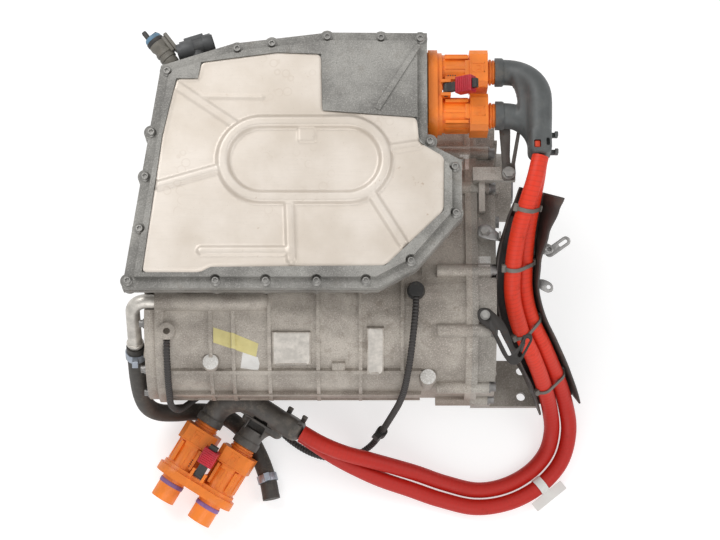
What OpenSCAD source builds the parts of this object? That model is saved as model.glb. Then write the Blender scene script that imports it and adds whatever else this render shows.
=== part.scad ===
// Electric drive unit: motor, two-stage reduction gear and inverter in one set of castings.
// The origin is the mouth of the right output bore, on the axle line. X runs along the axle to the
// right, Y to the back and Z up. The unit stands on its cast feet.

/* [Stance] */
// Height of the axle line above the feet
axle_height = 130; // [125:1:150]
// Distance of the motor axis in front of the axle
motor_back = 180; // [176:1:190]
// Height of the motor axis above the axle
motor_rise = 20; // [10:1:30]

/* [Motor] */
// Outer radius of the motor barrel
barrel_r = 114; // [112:0.5:120]
// Wall of the motor barrel around the stator
barrel_wall = 13; // [10:0.5:16]
// Length of the motor chamber
chamber_len = 332; // [320:1:340]
// Thickness of the end cover
end_cover_t = 14; // [12:1:18]
// Depth of the stator from its outer to its inner face
stator_deep = 26; // [23:0.5:30]
// Length of the stator core
stator_len = 190; // [150:1:200]
// Length of each winding overhang
winding_len = 44; // [30:1:50]
// Air gap between the rotor and the stator
air_gap = 0.8; // [0.6:0.1:1.2]
// Radius of the rotor shaft
shaft_r = 18; // [16:0.5:20]

/* [Gears] */
// Teeth of the motor pinion
teeth_motor = 21; // [20:1:22]
// Teeth of the countershaft wheel
teeth_wheel = 63; // [62:1:64]
// Gear module of the first stage
module_fast = 2; // [1.9:0.05:2.1]
// Teeth of the countershaft pinion
teeth_pinion = 19; // [18:1:20]
// Teeth of the ring gear
teeth_ring = 63; // [62:1:64]
// Gear module of the second stage
module_slow = 2.75; // [2.65:0.05:2.85]
// Face width of the first stage
face_fast = 22; // [18:1:24]
// Face width of the second stage
face_slow = 28; // [24:1:30]
// Radius of the output bores
output_r = 14; // [12:0.5:15]
// Length of each output bore
output_len = 46; // [40:1:50]

/* [Gear case] */
// Wall of the gear case
case_wall = 9; // [8:0.5:11]
// Depth of the motor side half of the gear case, to the parting face
case_deep = 66; // [64:1:70]
// Depth of the gearbox cover
cover_deep = 32; // [31:1:34]
// Free space between gear tips and the case
tip_room = 6; // [4:0.5:8]
// Radius of the bolt bosses on the parting face
boss_r = 9; // [8:0.5:10]
// Thread radius of the case bolts
case_bolt_r = 4; // [3:0.5:4]

/* [Inverter] */
// Space between the motor barrel and the inverter tray
tray_gap = 14; // [14:0.5:20]
// Height of the tray from its floor to its flange face
tray_deep = 58; // [54:1:64]
// Wall of the tray
tray_wall = 6; // [5:0.5:8]
// Width of the flange outside the tray wall
flange_w = 14; // [13:0.5:15]
// Thickness of the tray flange and of the cover flange
flange_t = 14; // [12:0.5:16]
// Thickness of the seal
seal_t = 2; // [1:0.5:3]
// Height of the raised rim on the cover
rim_rise = 9; // [7:0.5:11]
// Thickness of the stamped plate
plate_t = 2.5; // [2:0.5:3]
// Height of the stamped beads
bead_rise = 6; // [3:0.5:7]
// Radius of the bolt bosses on the flange
flange_boss_r = 9.5; // [8.5:0.5:11]
// Thread radius of the cover bolts
cover_bolt_r = 3; // [2.5:0.5:3.5]

/* [High-voltage plugs] */
// Length of the plug flange
plug_flange_len = 118; // [112:1:124]
// Width of the plug flange
plug_flange_w = 62; // [58:1:64]
// Thickness of the plug flange
plug_flange_t = 18; // [14:1:20]
// Distance between the two bodies
plug_pitch = 59; // [57:0.5:62]
// Radius of each body
plug_body_r = 23; // [21:0.5:24]
// Length of each body
plug_body_len = 36; // [32:1:40]
// Length of each collar
plug_collar_len = 24; // [20:1:28]
// Half width of each collar
plug_collar_half = 25; // [24:0.5:26]
// Radius of each neck
plug_neck_r = 15; // [14:0.5:16]
// Length of each neck
plug_neck_len = 10; // [8:1:14]
// Length of the lever arm
lever_len = 48; // [44:1:52]
// Width of the lever
lever_w = 12; // [10:1:14]
// Angle of the upper lever above its plug
upper_lever_angle = 35; // [25:1:60]
// Angle of the lower lever above its plug
lower_lever_angle = 14; // [12:1:20]

/* [Cables and hoses] */
// Diameter of each high-voltage cable
cable_d = 22; // [20:0.5:23]
// Distance between the two cables
cable_pitch = 24; // [23.5:0.5:25]
// Radius of the conduit tubes
conduit_r = 17; // [16:0.5:18]
// Diameter of the coolant hose
hose_d = 24; // [22:0.5:26]
// Outer diameter of the coolant pipe
pipe_d = 19; // [17:0.5:20]
// Diameter of the harness tube
harness_d = 9; // [8:0.5:10]

/* [Hidden] */
$fn = 48;
// Clearance of a running or sliding fit, on the radius
fit = 0.05;
// Gap between pieces that lie beside each other without a fit
gap = 0.4;

// Places along the axle
output_boss = 30;
cover_x = -output_boss;
parting_x = cover_x - cover_deep;
bulkhead_x = parting_x - case_deep;
gear_x0 = bulkhead_x + case_wall;
gear_x1 = cover_x - case_wall;
chamber_x1 = bulkhead_x - 18;
chamber_x0 = chamber_x1 - chamber_len;
bearing_w = 14;
bearing_left = gear_x0 - 12;
bearing_right = gear_x1 - 7;
ring_x = parting_x - 24;
wheel_x = ring_x - 6 - face_fast;
axle_mid = ring_x + face_slow / 2;
left_mouth = 2 * axle_mid;
floor_z = -axle_height;

// Shaft centres as [y, z]
diff_c = [0, 0];
motor_c = [-motor_back, motor_rise];
fast_dist = module_fast * (teeth_motor + teeth_wheel) / 2;
slow_dist = module_slow * (teeth_pinion + teeth_ring) / 2;
span = norm(motor_c);
toward = motor_c / span;
foot_dist = (slow_dist * slow_dist - fast_dist * fast_dist + span * span) / (2 * span);
sag = sqrt(slow_dist * slow_dist - foot_dist * foot_dist);
counter_c = foot_dist * toward + sag * [-toward[1], toward[0]];

// Case radii around each shaft
ring_tip = module_slow * (teeth_ring / 2 + 1);
wheel_tip = module_fast * (teeth_wheel / 2 + 1);
diff_case_r = ring_tip + tip_room + case_wall;
counter_case_r = wheel_tip + tip_room + case_wall;
diff_hub_r = output_r + 8;
diff_bearing_r = diff_hub_r + 16;
counter_shaft_r = 14;
counter_bearing_r = counter_shaft_r + 15;
rotor_bearing_r = shaft_r + 18;
stator_r = barrel_r - barrel_wall - fit;
stator_in_r = stator_r - stator_deep;
seat_wall = 9;
output_seal_r = diff_hub_r + 12;

// Heights of the inverter
barrel_top = motor_rise + barrel_r;
tray_floor = barrel_top + tray_gap;
flange_z = tray_floor + tray_deep;
cover_z = flange_z + seal_t;
cover_flange_top = cover_z + flange_t;
rim_top = cover_flange_top + rim_rise;
plate_z = rim_top - 4;

// Outline of the inverter flange, clockwise from the back left corner
flange_pts = [[-468, 109], [-374, 139], [-250, 154], [-122, 153], [-122, 17], [-110, -1],
    [-78, -18], [-78, -92], [-137, -160], [-186, -186], [-513, -186]];
// Outline of the stamped plate, clockwise from its back left corner
plate_pts = [[-447, 89], [-419, 89], [-415, 111], [-317, 124], [-260, 122], [-258, 46], [-136, 37],
    [-133, 4], [-101, -15], [-102, -86], [-177, -158], [-400, -160], [-413, -167], [-487, -167],
    [-464, 13]];
// Places of the cover bolts
cover_bolt_pts = [[-460, 101], [-369, 131], [-324, 138], [-252, 147], [-182, 146], [-131, 145],
    [-119, 7], [-87, -27], [-86, -88], [-144, -151], [-202, -177], [-265, -177], [-330, -177],
    [-394, -177], [-506, -177], [-492, -109], [-486, -40], [-479, 19]];
// Posts that carry the inverter tray, as [x, y]
post_pts = [[chamber_x0 + 38, motor_c[0] + 30], [chamber_x1 - 54, motor_c[0] + 30], [bulkhead_x + 16, -50],
    [chamber_x0 + 38, motor_c[0] + 85]];
post_r = 14;
post_bolt_r = 4;
// Feet: a rectangle of four threaded holes, and the height of each foot's top
foot_xs = [chamber_x0 + 23, (bulkhead_x + parting_x) / 2 + 10];
foot_ys = [motor_c[0] - 70, motor_c[0] + 100];
foot_tops = [[motor_rise - 60, motor_rise - 40], [motor_rise - 60, motor_rise - 100]];
foot_size = [44, 40];
foot_hole_r = 5.2;
foot_hole_deep = 26;

// Angles from +Y towards +Z of the case bolts around each shaft
diff_bolt_angles = [-62, -14, 34, 78];
motor_bolt_angles = [72, 112, 158, 184, 216, 256];

function unit(v) = v / norm(v);
function around(c, r, angles) = [for (a = angles) c + r * [cos(a), sin(a)]];
function right_normal(a, b) = let (d = unit(b - a)) [d[1], -d[0]];
// Clockwise outline moved inwards by d
function inset(p, d) = [for (i = [0:len(p) - 1])
    let (
        b = p[i],
        n1 = right_normal(p[(i + len(p) - 1) % len(p)], b),
        n2 = right_normal(b, p[(i + 1) % len(p)])
    ) b + d * (n1 + n2) / (1 + n1 * n2)];
// Four corners of the belt that runs round two circles
function belt(c1, r1, c2, r2) =
    let (
        d = c2 - c1,
        a = atan2(d[1], d[0]),
        b = acos((r1 - r2) / norm(d))
    ) [c1 + r1 * [cos(a + b), sin(a + b)], c2 + r2 * [cos(a + b), sin(a + b)],
       c2 + r2 * [cos(a - b), sin(a - b)], c1 + r1 * [cos(a - b), sin(a - b)]];
bolt_belt = belt(diff_c, diff_case_r + 2, motor_c, barrel_r + 2);
belt_bolts = [bolt_belt[0] * 0.75 + bolt_belt[1] * 0.25, bolt_belt[2] * 0.25 + bolt_belt[3] * 0.75];
case_bolt_pts = concat(
    around(diff_c, diff_case_r + 2, diff_bolt_angles),
    around(motor_c, barrel_r + 2, motor_bolt_angles),
    belt_bolts);

module x_cyl(x0, x1, c, r) translate([x0, c[0], c[1]]) rotate([0, 90, 0]) cylinder(r = r, h = x1 - x0);
module z_cyl(c, z0, z1, r) translate([c[0], c[1], z0]) cylinder(r = r, h = z1 - z0);
module x_slab(x0, x1) translate([x0, 0, 0]) rotate([90, 0, 90]) linear_extrude(x1 - x0) children();
module z_slab(z0, z1) translate([0, 0, z0]) linear_extrude(z1 - z0) children();
module block(a, b) translate(a) cube(b - a);

// Outline of the gear case in [y, z], round the axle, the countershaft and the motor
module case_outline(grow) {
    translate(diff_c) circle(r = diff_case_r + grow, $fn = 96);
    translate(motor_c) circle(r = barrel_r + grow, $fn = 96);
    translate(counter_c) circle(r = counter_case_r + grow, $fn = 96);
    polygon(belt(diff_c, diff_case_r + grow - gap, motor_c, barrel_r + grow - gap));
}

// Raised strip on the barrel, at angle a from +Y towards +Z
module barrel_strip(x0, x1, a, w, rise)
    translate([0, motor_c[0], motor_c[1]]) rotate([a, 0, 0])
        block([x0, barrel_r - 8, -w / 2], [x1, barrel_r + rise, w / 2]);

rib_w = 5;
rib_rise = 4;
rib_xs = [for (f = [0.211, 0.301, 0.443, 0.636, 0.804, 0.97]) chamber_x0 + f * chamber_len];
end_flange_rise = 6;
end_flange_t = 12;
end_bolt_angles = [for (i = [0:9]) 36 * i];
end_bolt_pts = around(motor_c, barrel_r - 6, end_bolt_angles);
end_bolt_r = 3;
coolant_c = [motor_c[0] - 6, barrel_top];
coolant_boss_r = 13;
coolant_boss_end = chamber_x0 + 137;
harness_boss_at = [chamber_x0 + 16, motor_c[0] - 46];
harness_boss_r = 11;
harness_boss_top = barrel_top + 4;
grommet_at = [-136, motor_c[0] + 7];
grommet_z = barrel_top + 4;
grommet_r = 10;
grommet_hole_r = 7;
case_boss_back = 46;
case_boss_front = 24;
gusset_xs = [chamber_x0 + 78, chamber_x0 + 233];
gusset_t = 10;

module feet()
    for (i = [0, 1])
        for (j = [0, 1])
            block([foot_xs[i] - foot_size[0] / 2, foot_ys[j] - foot_size[1] / 2, floor_z],
                [foot_xs[i] + foot_size[0] / 2, foot_ys[j] + foot_size[1] / 2, foot_tops[i][j]]);

module foot_holes()
    for (x = foot_xs)
        for (y = foot_ys)
            z_cyl([x, y], floor_z - 1, floor_z + foot_hole_deep, foot_hole_r);

module barrel_forms() {
    for (x = rib_xs)
        x_cyl(x, x + rib_w, motor_c, barrel_r + rib_rise);
    x_cyl(chamber_x0, chamber_x0 + end_flange_t, motor_c, barrel_r + end_flange_rise);
    for (a = [142, 168, 200])
        barrel_strip(chamber_x0 + 4, bulkhead_x, a, 6, 5);
    barrel_strip(chamber_x0 + 154, chamber_x0 + 204, 124, 46, 3);
    barrel_strip(chamber_x1 - 54, chamber_x1 - 32, 126, 66, 3);
    barrel_strip(chamber_x1 - 100, chamber_x1 - 83, 139, 18, 4);
    x_cyl(chamber_x0, coolant_boss_end, coolant_c, coolant_boss_r);
    translate([coolant_boss_end, coolant_c[0], coolant_c[1]]) sphere(r = coolant_boss_r);
    z_cyl(harness_boss_at, harness_boss_top - 48, harness_boss_top, harness_boss_r);
    z_cyl(grommet_at, grommet_z - 18, grommet_z, grommet_r + 3);
}

module tray_supports() {
    z_cyl(post_pts[0], barrel_top - 34, tray_floor, post_r);
    z_cyl(post_pts[1], barrel_top - 34, tray_floor, post_r);
    z_cyl(post_pts[2], diff_case_r - 14, tray_floor, post_r);
    z_cyl(post_pts[3], barrel_top - 64, tray_floor, post_r);
    for (x = gusset_xs)
        x_slab(x, x + gusset_t)
            polygon([motor_c + [80, 40], [-86, tray_floor], [5, tray_floor], motor_c + [108, 25]]);
}

module case_half_cuts() {
    x_cyl(chamber_x0 - 1, chamber_x1, motor_c, barrel_r - barrel_wall);
    x_slab(gear_x0, parting_x + 1) case_outline(-case_wall);
    x_cyl(chamber_x1 - 1, chamber_x1 + bearing_w + 4, motor_c, rotor_bearing_r + fit);
    x_cyl(chamber_x1, gear_x0 + 1, motor_c, shaft_r + 6);
    x_cyl(bearing_left, gear_x0 + 1, counter_c, counter_bearing_r + fit);
    x_cyl(bearing_left, gear_x0 + 1, diff_c, diff_bearing_r + fit);
    x_cyl(left_mouth, gear_x0, diff_c, diff_hub_r + 3);
    x_cyl(left_mouth, left_mouth + 12, diff_c, output_seal_r + fit);
    for (p = case_bolt_pts)
        x_cyl(parting_x - case_boss_back + 8, parting_x + 1, p, case_bolt_r + fit);
    for (p = end_bolt_pts)
        x_cyl(chamber_x0 - 1, chamber_x0 + 22, p, end_bolt_r + fit);
    for (p = post_pts)
        z_cyl(p, tray_floor - 22, tray_floor + 1, post_bolt_r + fit);
    x_cyl(chamber_x0 - 1, coolant_boss_end - 20, coolant_c, pipe_d / 2 + fit);
    z_cyl(harness_boss_at, harness_boss_top - 12, harness_boss_top + 1, harness_d / 2 + fit);
    z_cyl(grommet_at, grommet_z - 14, grommet_z + 1, grommet_hole_r + fit);
    foot_holes();
}

module motor_housing() color([0.60, 0.58, 0.54]) difference() {
    union() {
        x_cyl(chamber_x0, bulkhead_x + 1, motor_c, barrel_r);
        x_slab(bulkhead_x, parting_x) case_outline(0);
        x_slab(parting_x - 8, parting_x) case_outline(5);
        for (p = case_bolt_pts)
            x_cyl(parting_x - case_boss_back, parting_x, p, boss_r);
        x_cyl(left_mouth + 4, bulkhead_x + 1, diff_c, diff_bearing_r + seat_wall);
        x_cyl(bearing_left - 6, bulkhead_x + 1, counter_c, counter_bearing_r + seat_wall);
        barrel_forms();
        tray_supports();
        feet();
    }
    case_half_cuts();
}

module motor_end_cover() color([0.58, 0.56, 0.52]) difference() {
    union() {
        x_cyl(chamber_x0 - end_cover_t, chamber_x0, motor_c, barrel_r + 2);
        x_cyl(chamber_x0 - 1, chamber_x0 + 16, motor_c, rotor_bearing_r + seat_wall);
        x_cyl(chamber_x0 - end_cover_t - 5, chamber_x0, motor_c, 52);
        for (a = [0:45:315])
            translate([chamber_x0 - end_cover_t - 3, motor_c[0], motor_c[1]]) rotate([a, 0, 0])
                block([0, 40, -3], [5, barrel_r - 14, 3]);
    }
    x_cyl(chamber_x0 - 3, chamber_x0 + 17, motor_c, rotor_bearing_r + fit);
    for (p = end_bolt_pts)
        x_cyl(chamber_x0 - end_cover_t - 6, chamber_x0 + 1, p, end_bolt_r + gap);
    x_cyl(chamber_x0 - end_cover_t - 6, chamber_x0 + 1, coolant_c, pipe_d / 2 + 1.5);
}

// Flange radius of a bolt head as a multiple of its thread radius
bolt_flange = 2.15;

// Flange bolt that points along -Z, with its head seat at z = 0
module flange_bolt(r, len) {
    difference() {
        union() {
            cylinder(r = r * bolt_flange, h = 2);
            translate([0, 0, 1]) cylinder(r = r * 1.65, h = r * 2);
        }
        translate([0, 0, r * 1.1 + 1]) cylinder(r = r, h = r * 2, $fn = 6);
    }
    translate([0, 0, -len]) cylinder(r = r, h = len + 1);
}

module end_cover_bolts() color([0.45, 0.45, 0.45])
    for (p = end_bolt_pts)
        translate([chamber_x0 - end_cover_t, p[0], p[1]]) rotate([0, -90, 0])
            flange_bolt(end_bolt_r, end_cover_t + 18);

lug_bolt_at = [-13, -15];
lug_bolt_r = 4;
lug_top = tray_floor - 8;
ear_hole_r = 6.2;
ear_pts = [[14, -240], [14, -276]];
ear_z = [-104, -88];

module cover_forms() {
    x_cyl(cover_x - 1, -4, diff_c, diff_bearing_r + seat_wall);
    x_cyl(cover_x - 1, cover_x + 3, counter_c, counter_bearing_r + seat_wall);
    x_cyl(cover_x - 1, cover_x + 4, motor_c, 44);
    for (a = [20, 65, 110, 250, 295, 340])
        translate([cover_x - 1, 0, 0]) rotate([a, 0, 0])
            block([0, 40, -3], [6, diff_case_r - 6, 3]);
    for (a = [70, 110, 150, 190, 230, 270])
        translate([cover_x - 1, motor_c[0], motor_c[1]]) rotate([a, 0, 0])
            block([0, 40, -3], [3, barrel_r - 8, 3]);
    block([cover_x - 30, lug_bolt_at[1] - 9, diff_case_r - 16], [cover_x - 4, lug_bolt_at[1] + 9, lug_top]);
    block([cover_x - 30, lug_bolt_at[1] - 9, lug_top - 12], [lug_bolt_at[0] + 9, lug_bolt_at[1] + 9, lug_top]);
    block([cover_x - 22, -64, diff_case_r - 8], [cover_x - 14, lug_bolt_at[1] - 8, lug_top - 8]);
    x_slab(cover_x - 26, cover_x) polygon([[-290, -104], [-226, -104], [-226, -70], [-262, -40], [-290, -40]]);
    block([cover_x - 26, -290, ear_z[0]], [36, -226, ear_z[1]]);
    for (p = bracket_posts)
        z_cyl(p, diff_case_r - 4, bracket_post_top, bracket_post_r);
}

module gearbox_cover() color([0.56, 0.54, 0.51]) difference() {
    union() {
        difference() {
            union() {
                x_slab(parting_x, cover_x) case_outline(0);
                x_slab(parting_x, parting_x + 8) case_outline(5);
                for (p = case_bolt_pts)
                    x_cyl(parting_x, parting_x + case_boss_front, p, boss_r);
                cover_forms();
            }
            x_slab(parting_x - 1, gear_x1) case_outline(-case_wall);
        }
        x_cyl(bearing_right, gear_x1 + 1, diff_c, diff_bearing_r + seat_wall);
        x_cyl(bearing_right, gear_x1 + 1, counter_c, counter_bearing_r + seat_wall);
    }
    x_cyl(bearing_right - 5, bearing_right + bearing_w, diff_c, diff_bearing_r + fit);
    x_cyl(bearing_right - 5, bearing_right + bearing_w, counter_c, counter_bearing_r + fit);
    x_cyl(bearing_right, 0, diff_c, diff_hub_r + 3);
    x_cyl(-12, 0, diff_c, output_seal_r + fit);
    for (p = case_bolt_pts)
        x_cyl(parting_x - 1, parting_x + case_boss_front + 1, p, case_bolt_r + gap);
    for (p = case_bolt_pts)
        x_cyl(parting_x + case_boss_front, cover_x + 8, p, case_bolt_r * bolt_flange + 2 * gap);
    for (p = ear_pts)
        z_cyl(p, ear_z[0] - 1, ear_z[1] + 1, ear_hole_r);
    z_cyl(lug_bolt_at, lug_top - 13, lug_top + 1, lug_bolt_r + fit);
    for (p = bracket_posts)
        z_cyl(p, bracket_post_top - 16, bracket_post_top + 1, bracket_bolt_r + fit);
    for (p = oil_plug_pts)
        x_cyl(gear_x1 - 1, cover_x + 9, p, oil_plug_r + fit);
}

module gearbox_bolts() color([0.42, 0.42, 0.43])
    for (p = case_bolt_pts)
        translate([parting_x + case_boss_front, p[0], p[1]]) rotate([0, 90, 0])
            flange_bolt(case_bolt_r, case_boss_front + case_boss_back - 12);

// Rotor, stator and gear train
core_x0 = (chamber_x0 + chamber_x1) / 2 - stator_len / 2 + 6;
core_x1 = core_x0 + stator_len;
stator_slots = 36;
slot_w = 6;
slot_deep = 14;
step_r = 14;
pressure = 20;
slack = 0.12;

function involute(a) = tan(a) * 180 / PI - a;
function half_tooth(r, teeth, m) =
    let (rp = m * teeth / 2, rb = rp * cos(pressure))
    90 / teeth - slack * m / rp * 90 / PI + involute(pressure) - involute(acos(min(1, rb / max(r, rb))));
function polar(r, a) = r * [cos(a), sin(a)];
// Outline of a gear whose first tooth points at angle turn
function gear_pts(teeth, m, turn) =
    let (
        rp = m * teeth / 2,
        radii = [rp - 1.25 * m, rp, rp + 0.95 * m]
    ) [for (i = [0:teeth - 1])
        for (k = [0:5])
            let (
                r = radii[k < 3 ? k : 5 - k],
                side = k < 3 ? -1 : 1
            ) polar(r, turn + 360 * i / teeth + side * half_tooth(r, teeth, m))];
function bearing_angle(a, b) = atan2(b[1] - a[1], b[0] - a[0]);
fast_angle = bearing_angle(motor_c, counter_c);
slow_angle = bearing_angle(counter_c, diff_c);

module x_gear(x0, x1, c, teeth, m, turn)
    x_slab(x0, x1) translate(c) polygon(gear_pts(teeth, m, turn));
module x_ring(x0, x1, c, r_out, r_in) difference() {
    x_cyl(x0, x1, c, r_out);
    x_cyl(x0 - 1, x1 + 1, c, r_in);
}

module stator_core() color([0.35, 0.36, 0.38])
    x_slab(core_x0, core_x1) translate(motor_c) difference() {
        circle(r = stator_r, $fn = 96);
        circle(r = stator_in_r, $fn = 96);
        for (i = [0:stator_slots - 1])
            rotate(360 * i / stator_slots)
                translate([stator_in_r + 3, -slot_w / 2]) square([slot_deep, slot_w]);
    }

module stator_windings() color([0.72, 0.42, 0.20]) {
    x_ring(core_x0 - winding_len, core_x0, motor_c, stator_r - 6, stator_in_r + 4);
    x_ring(core_x1, core_x1 + winding_len, motor_c, stator_r - 6, stator_in_r + 4);
}

module rotor_shaft() color([0.62, 0.62, 0.64]) {
    x_cyl(chamber_x0 - 2, gear_x0, motor_c, shaft_r);
    x_cyl(gear_x0 - 1, wheel_x + face_fast + 2, motor_c, step_r);
}

module rotor_core() color([0.40, 0.41, 0.43])
    x_ring(core_x0, core_x1, motor_c, stator_in_r - air_gap, shaft_r + fit);

module motor_pinion() color([0.55, 0.55, 0.57]) difference() {
    x_gear(wheel_x - 2, wheel_x + face_fast + 2, motor_c, teeth_motor, module_fast, fast_angle);
    x_cyl(wheel_x - 3, wheel_x + face_fast + 3, motor_c, step_r + fit);
}

wheel_seat_r = 20;
wheel_holes = 6;

module countershaft() color([0.58, 0.58, 0.60]) {
    x_cyl(bearing_left, bearing_right + bearing_w, counter_c, counter_shaft_r);
    x_cyl(wheel_x - 1, ring_x - 1, counter_c, wheel_seat_r);
    x_gear(ring_x - 2, ring_x + face_slow + 2, counter_c, teeth_pinion, module_slow, slow_angle);
}

module counter_wheel() color([0.55, 0.55, 0.57]) difference() {
    x_gear(wheel_x, wheel_x + face_fast, counter_c, teeth_wheel, module_fast,
        fast_angle + 180 + 180 / teeth_wheel);
    x_cyl(wheel_x - 1, wheel_x + face_fast + 1, counter_c, wheel_seat_r + fit);
    for (p = around(counter_c, (wheel_seat_r + wheel_tip) / 2, [for (i = [1:wheel_holes]) 360 * i / wheel_holes]))
        x_cyl(wheel_x - 1, wheel_x + face_fast + 1, p, 9);
}

ring_seat_r = 60;
ring_flange_w = 18;
ring_flange_r = ring_seat_r + ring_flange_w;
ring_flange_t = 4;
ring_bolt_r = 3;
ring_bolt_pts = around(diff_c, ring_seat_r + ring_flange_w / 2, [for (i = [0:7]) 22.5 + 45 * i]);
side_bore_r = output_r + 4;
bevel_hollow_r = 30;
bevel_near = 12;
bevel_far = 19;
bevel_back = 22;
cross_pin_r = 6;
cross_pin_half = 42;
case_waist_r = 44;
case_waist_half = 24;

module ring_gear() color([0.55, 0.55, 0.57]) difference() {
    x_gear(ring_x, ring_x + face_slow, diff_c, teeth_ring, module_slow, slow_angle + 180 + 180 / teeth_ring);
    x_cyl(ring_x - 1, ring_x + face_slow + 1, diff_c, ring_seat_r + fit);
    for (p = ring_bolt_pts)
        x_cyl(ring_x - 1, ring_x + face_slow + 1, p, ring_bolt_r + gap);
}

module ring_gear_bolts() color([0.42, 0.42, 0.43])
    for (p = ring_bolt_pts)
        translate([ring_x + face_slow, p[0], p[1]]) rotate([0, 90, 0])
            flange_bolt(ring_bolt_r, face_slow + ring_flange_t);

module differential_case() color([0.50, 0.50, 0.52]) difference() {
    union() {
        x_cyl(left_mouth, 0, diff_c, diff_hub_r);
        x_cyl(axle_mid - case_waist_half, axle_mid + case_waist_half, diff_c, case_waist_r);
        x_cyl(ring_x - 1, ring_x + face_slow, diff_c, ring_seat_r);
        x_cyl(ring_x - ring_flange_t, ring_x, diff_c, ring_flange_r);
    }
    x_cyl(left_mouth - 1, 1, diff_c, side_bore_r);
    translate([axle_mid, 0, 0]) sphere(r = bevel_hollow_r);
    translate([axle_mid, -ring_flange_r, 0]) rotate([-90, 0, 0])
        cylinder(r = cross_pin_r + fit, h = 2 * ring_flange_r);
    for (p = ring_bolt_pts)
        x_cyl(ring_x - ring_flange_t - 1, ring_x + 1, p, ring_bolt_r + fit);
}

// Bevel side gear along +X from the middle of the differential, with its output bore
module side_gear() difference() {
    union() {
        rotate([0, 90, 0]) translate([0, 0, bevel_near])
            cylinder(r1 = bevel_near - 0.5, r2 = bevel_far - 0.5, h = bevel_far - bevel_near);
        x_cyl(bevel_far - 1, -axle_mid, diff_c, side_bore_r - fit);
    }
    x_cyl(-axle_mid - output_len, -axle_mid + 1, diff_c, output_r);
}
module side_gear_right() color([0.66, 0.66, 0.68]) translate([axle_mid, 0, 0]) side_gear();
module side_gear_left() color([0.66, 0.66, 0.68]) translate([axle_mid, 0, 0]) rotate([0, 0, 180]) side_gear();

// Bevel planet gear along +Y from the middle of the differential
module planet_gear() rotate([-90, 0, 0]) difference() {
    union() {
        translate([0, 0, bevel_near])
            cylinder(r1 = bevel_near - 0.5, r2 = bevel_far - 0.5, h = bevel_far - bevel_near);
        translate([0, 0, bevel_far - 1]) cylinder(r = bevel_far - 1, h = bevel_back - bevel_far + 1);
    }
    cylinder(r = cross_pin_r + fit, h = 2 * bevel_back);
}
module planet_gear_back() color([0.66, 0.66, 0.68]) translate([axle_mid, 0, 0]) planet_gear();
module planet_gear_front() color([0.66, 0.66, 0.68]) translate([axle_mid, 0, 0]) rotate([0, 0, 180]) planet_gear();

module cross_pin() color([0.70, 0.70, 0.72])
    translate([axle_mid, -cross_pin_half, 0]) rotate([-90, 0, 0]) cylinder(r = cross_pin_r, h = 2 * cross_pin_half);

// Left and right bearing of each shaft
module bearing_pair(x_left, x_right, c, r_out, r_in)
    for (x = [x_left, x_right])
        x_ring(x, x + bearing_w, c, r_out, r_in + fit);
module shaft_bearings() color([0.75, 0.75, 0.76]) {
    bearing_pair(chamber_x0 - 1, chamber_x1 + 2, motor_c, rotor_bearing_r, shaft_r);
    bearing_pair(bearing_left, bearing_right, counter_c, counter_bearing_r, counter_shaft_r);
    bearing_pair(bearing_left, bearing_right, diff_c, diff_bearing_r, diff_hub_r);
}

module output_seals() color([0.15, 0.15, 0.15]) {
    x_ring(-12, -4, diff_c, output_seal_r, diff_hub_r + fit);
    x_ring(left_mouth + 4, left_mouth + 12, diff_c, output_seal_r, diff_hub_r + fit);
}

// Inverter tray, cover and what they hold
rim_inset = flange_w - 1;
tray_out = inset(flange_pts, flange_w);
tray_in = inset(flange_pts, flange_w + tray_wall);
tray_top = tray_floor + tray_wall;
plug_a_at = [-120, 83, tray_floor + 30];
header_half = [51, 20];
header_deep = 40;
shroud_r = 17;
shroud_len = 34;

module cover_bolt_holes(z0, z1, r)
    for (p = cover_bolt_pts)
        z_cyl(p, z0, z1, r);

module inverter_tray() color([0.57, 0.56, 0.53]) difference() {
    union() {
        z_slab(tray_floor, flange_z) polygon(tray_out);
        z_slab(flange_z - flange_t, flange_z) polygon(flange_pts);
        cover_bolt_holes(flange_z - flange_t - 6, flange_z, flange_boss_r);
    }
    z_slab(tray_top, flange_z + 1) polygon(tray_in);
    cover_bolt_holes(flange_z - flange_t, flange_z + 1, cover_bolt_r + fit);
    for (p = post_pts)
        z_cyl(p, tray_floor - 1, tray_top + 1, post_bolt_r + gap);
    block(plug_a_at - [header_deep + 1, header_half[0] + fit, header_half[1] + fit],
        plug_a_at + [1, header_half[0] + fit, header_half[1] + fit]);
}

module tray_bolts() color([0.42, 0.42, 0.43])
    for (p = post_pts)
        translate([p[0], p[1], tray_top]) flange_bolt(post_bolt_r, tray_wall + 20);

module cover_seal() color([0.12, 0.12, 0.12]) difference() {
    z_slab(flange_z, cover_z) polygon(inset(flange_pts, 2));
    z_slab(flange_z - 1, cover_z + 1) polygon(inset(flange_pts, flange_w + 3));
    cover_bolt_holes(flange_z - 1, cover_z + 1, cover_bolt_r + gap);
}

module inverter_cover() color([0.55, 0.54, 0.52]) difference() {
    union() {
        z_slab(cover_z, cover_flange_top) polygon(flange_pts);
        cover_bolt_holes(cover_z, cover_flange_top, flange_boss_r);
        z_slab(cover_z, rim_top) polygon(inset(flange_pts, rim_inset));
        translate([0, 0, rim_top - 1]) linear_extrude(3) polygon([[-136, 136], [-130, 133], [-184, 46], [-191, 50]]);
    }
    z_slab(plate_z, rim_top + 5) polygon(inset(plate_pts, -gap));
    z_slab(cover_z - 1, plate_z + 1) polygon(inset(plate_pts, 14));
    cover_bolt_holes(cover_z - 1, cover_flange_top + 1, cover_bolt_r + gap);
    cover_bolt_holes(cover_flange_top, rim_top + 1, cover_bolt_r * bolt_flange + 1);
}

// Step by which one part of a form stands proud of the part that runs into it
proud = 0.25;
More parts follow.
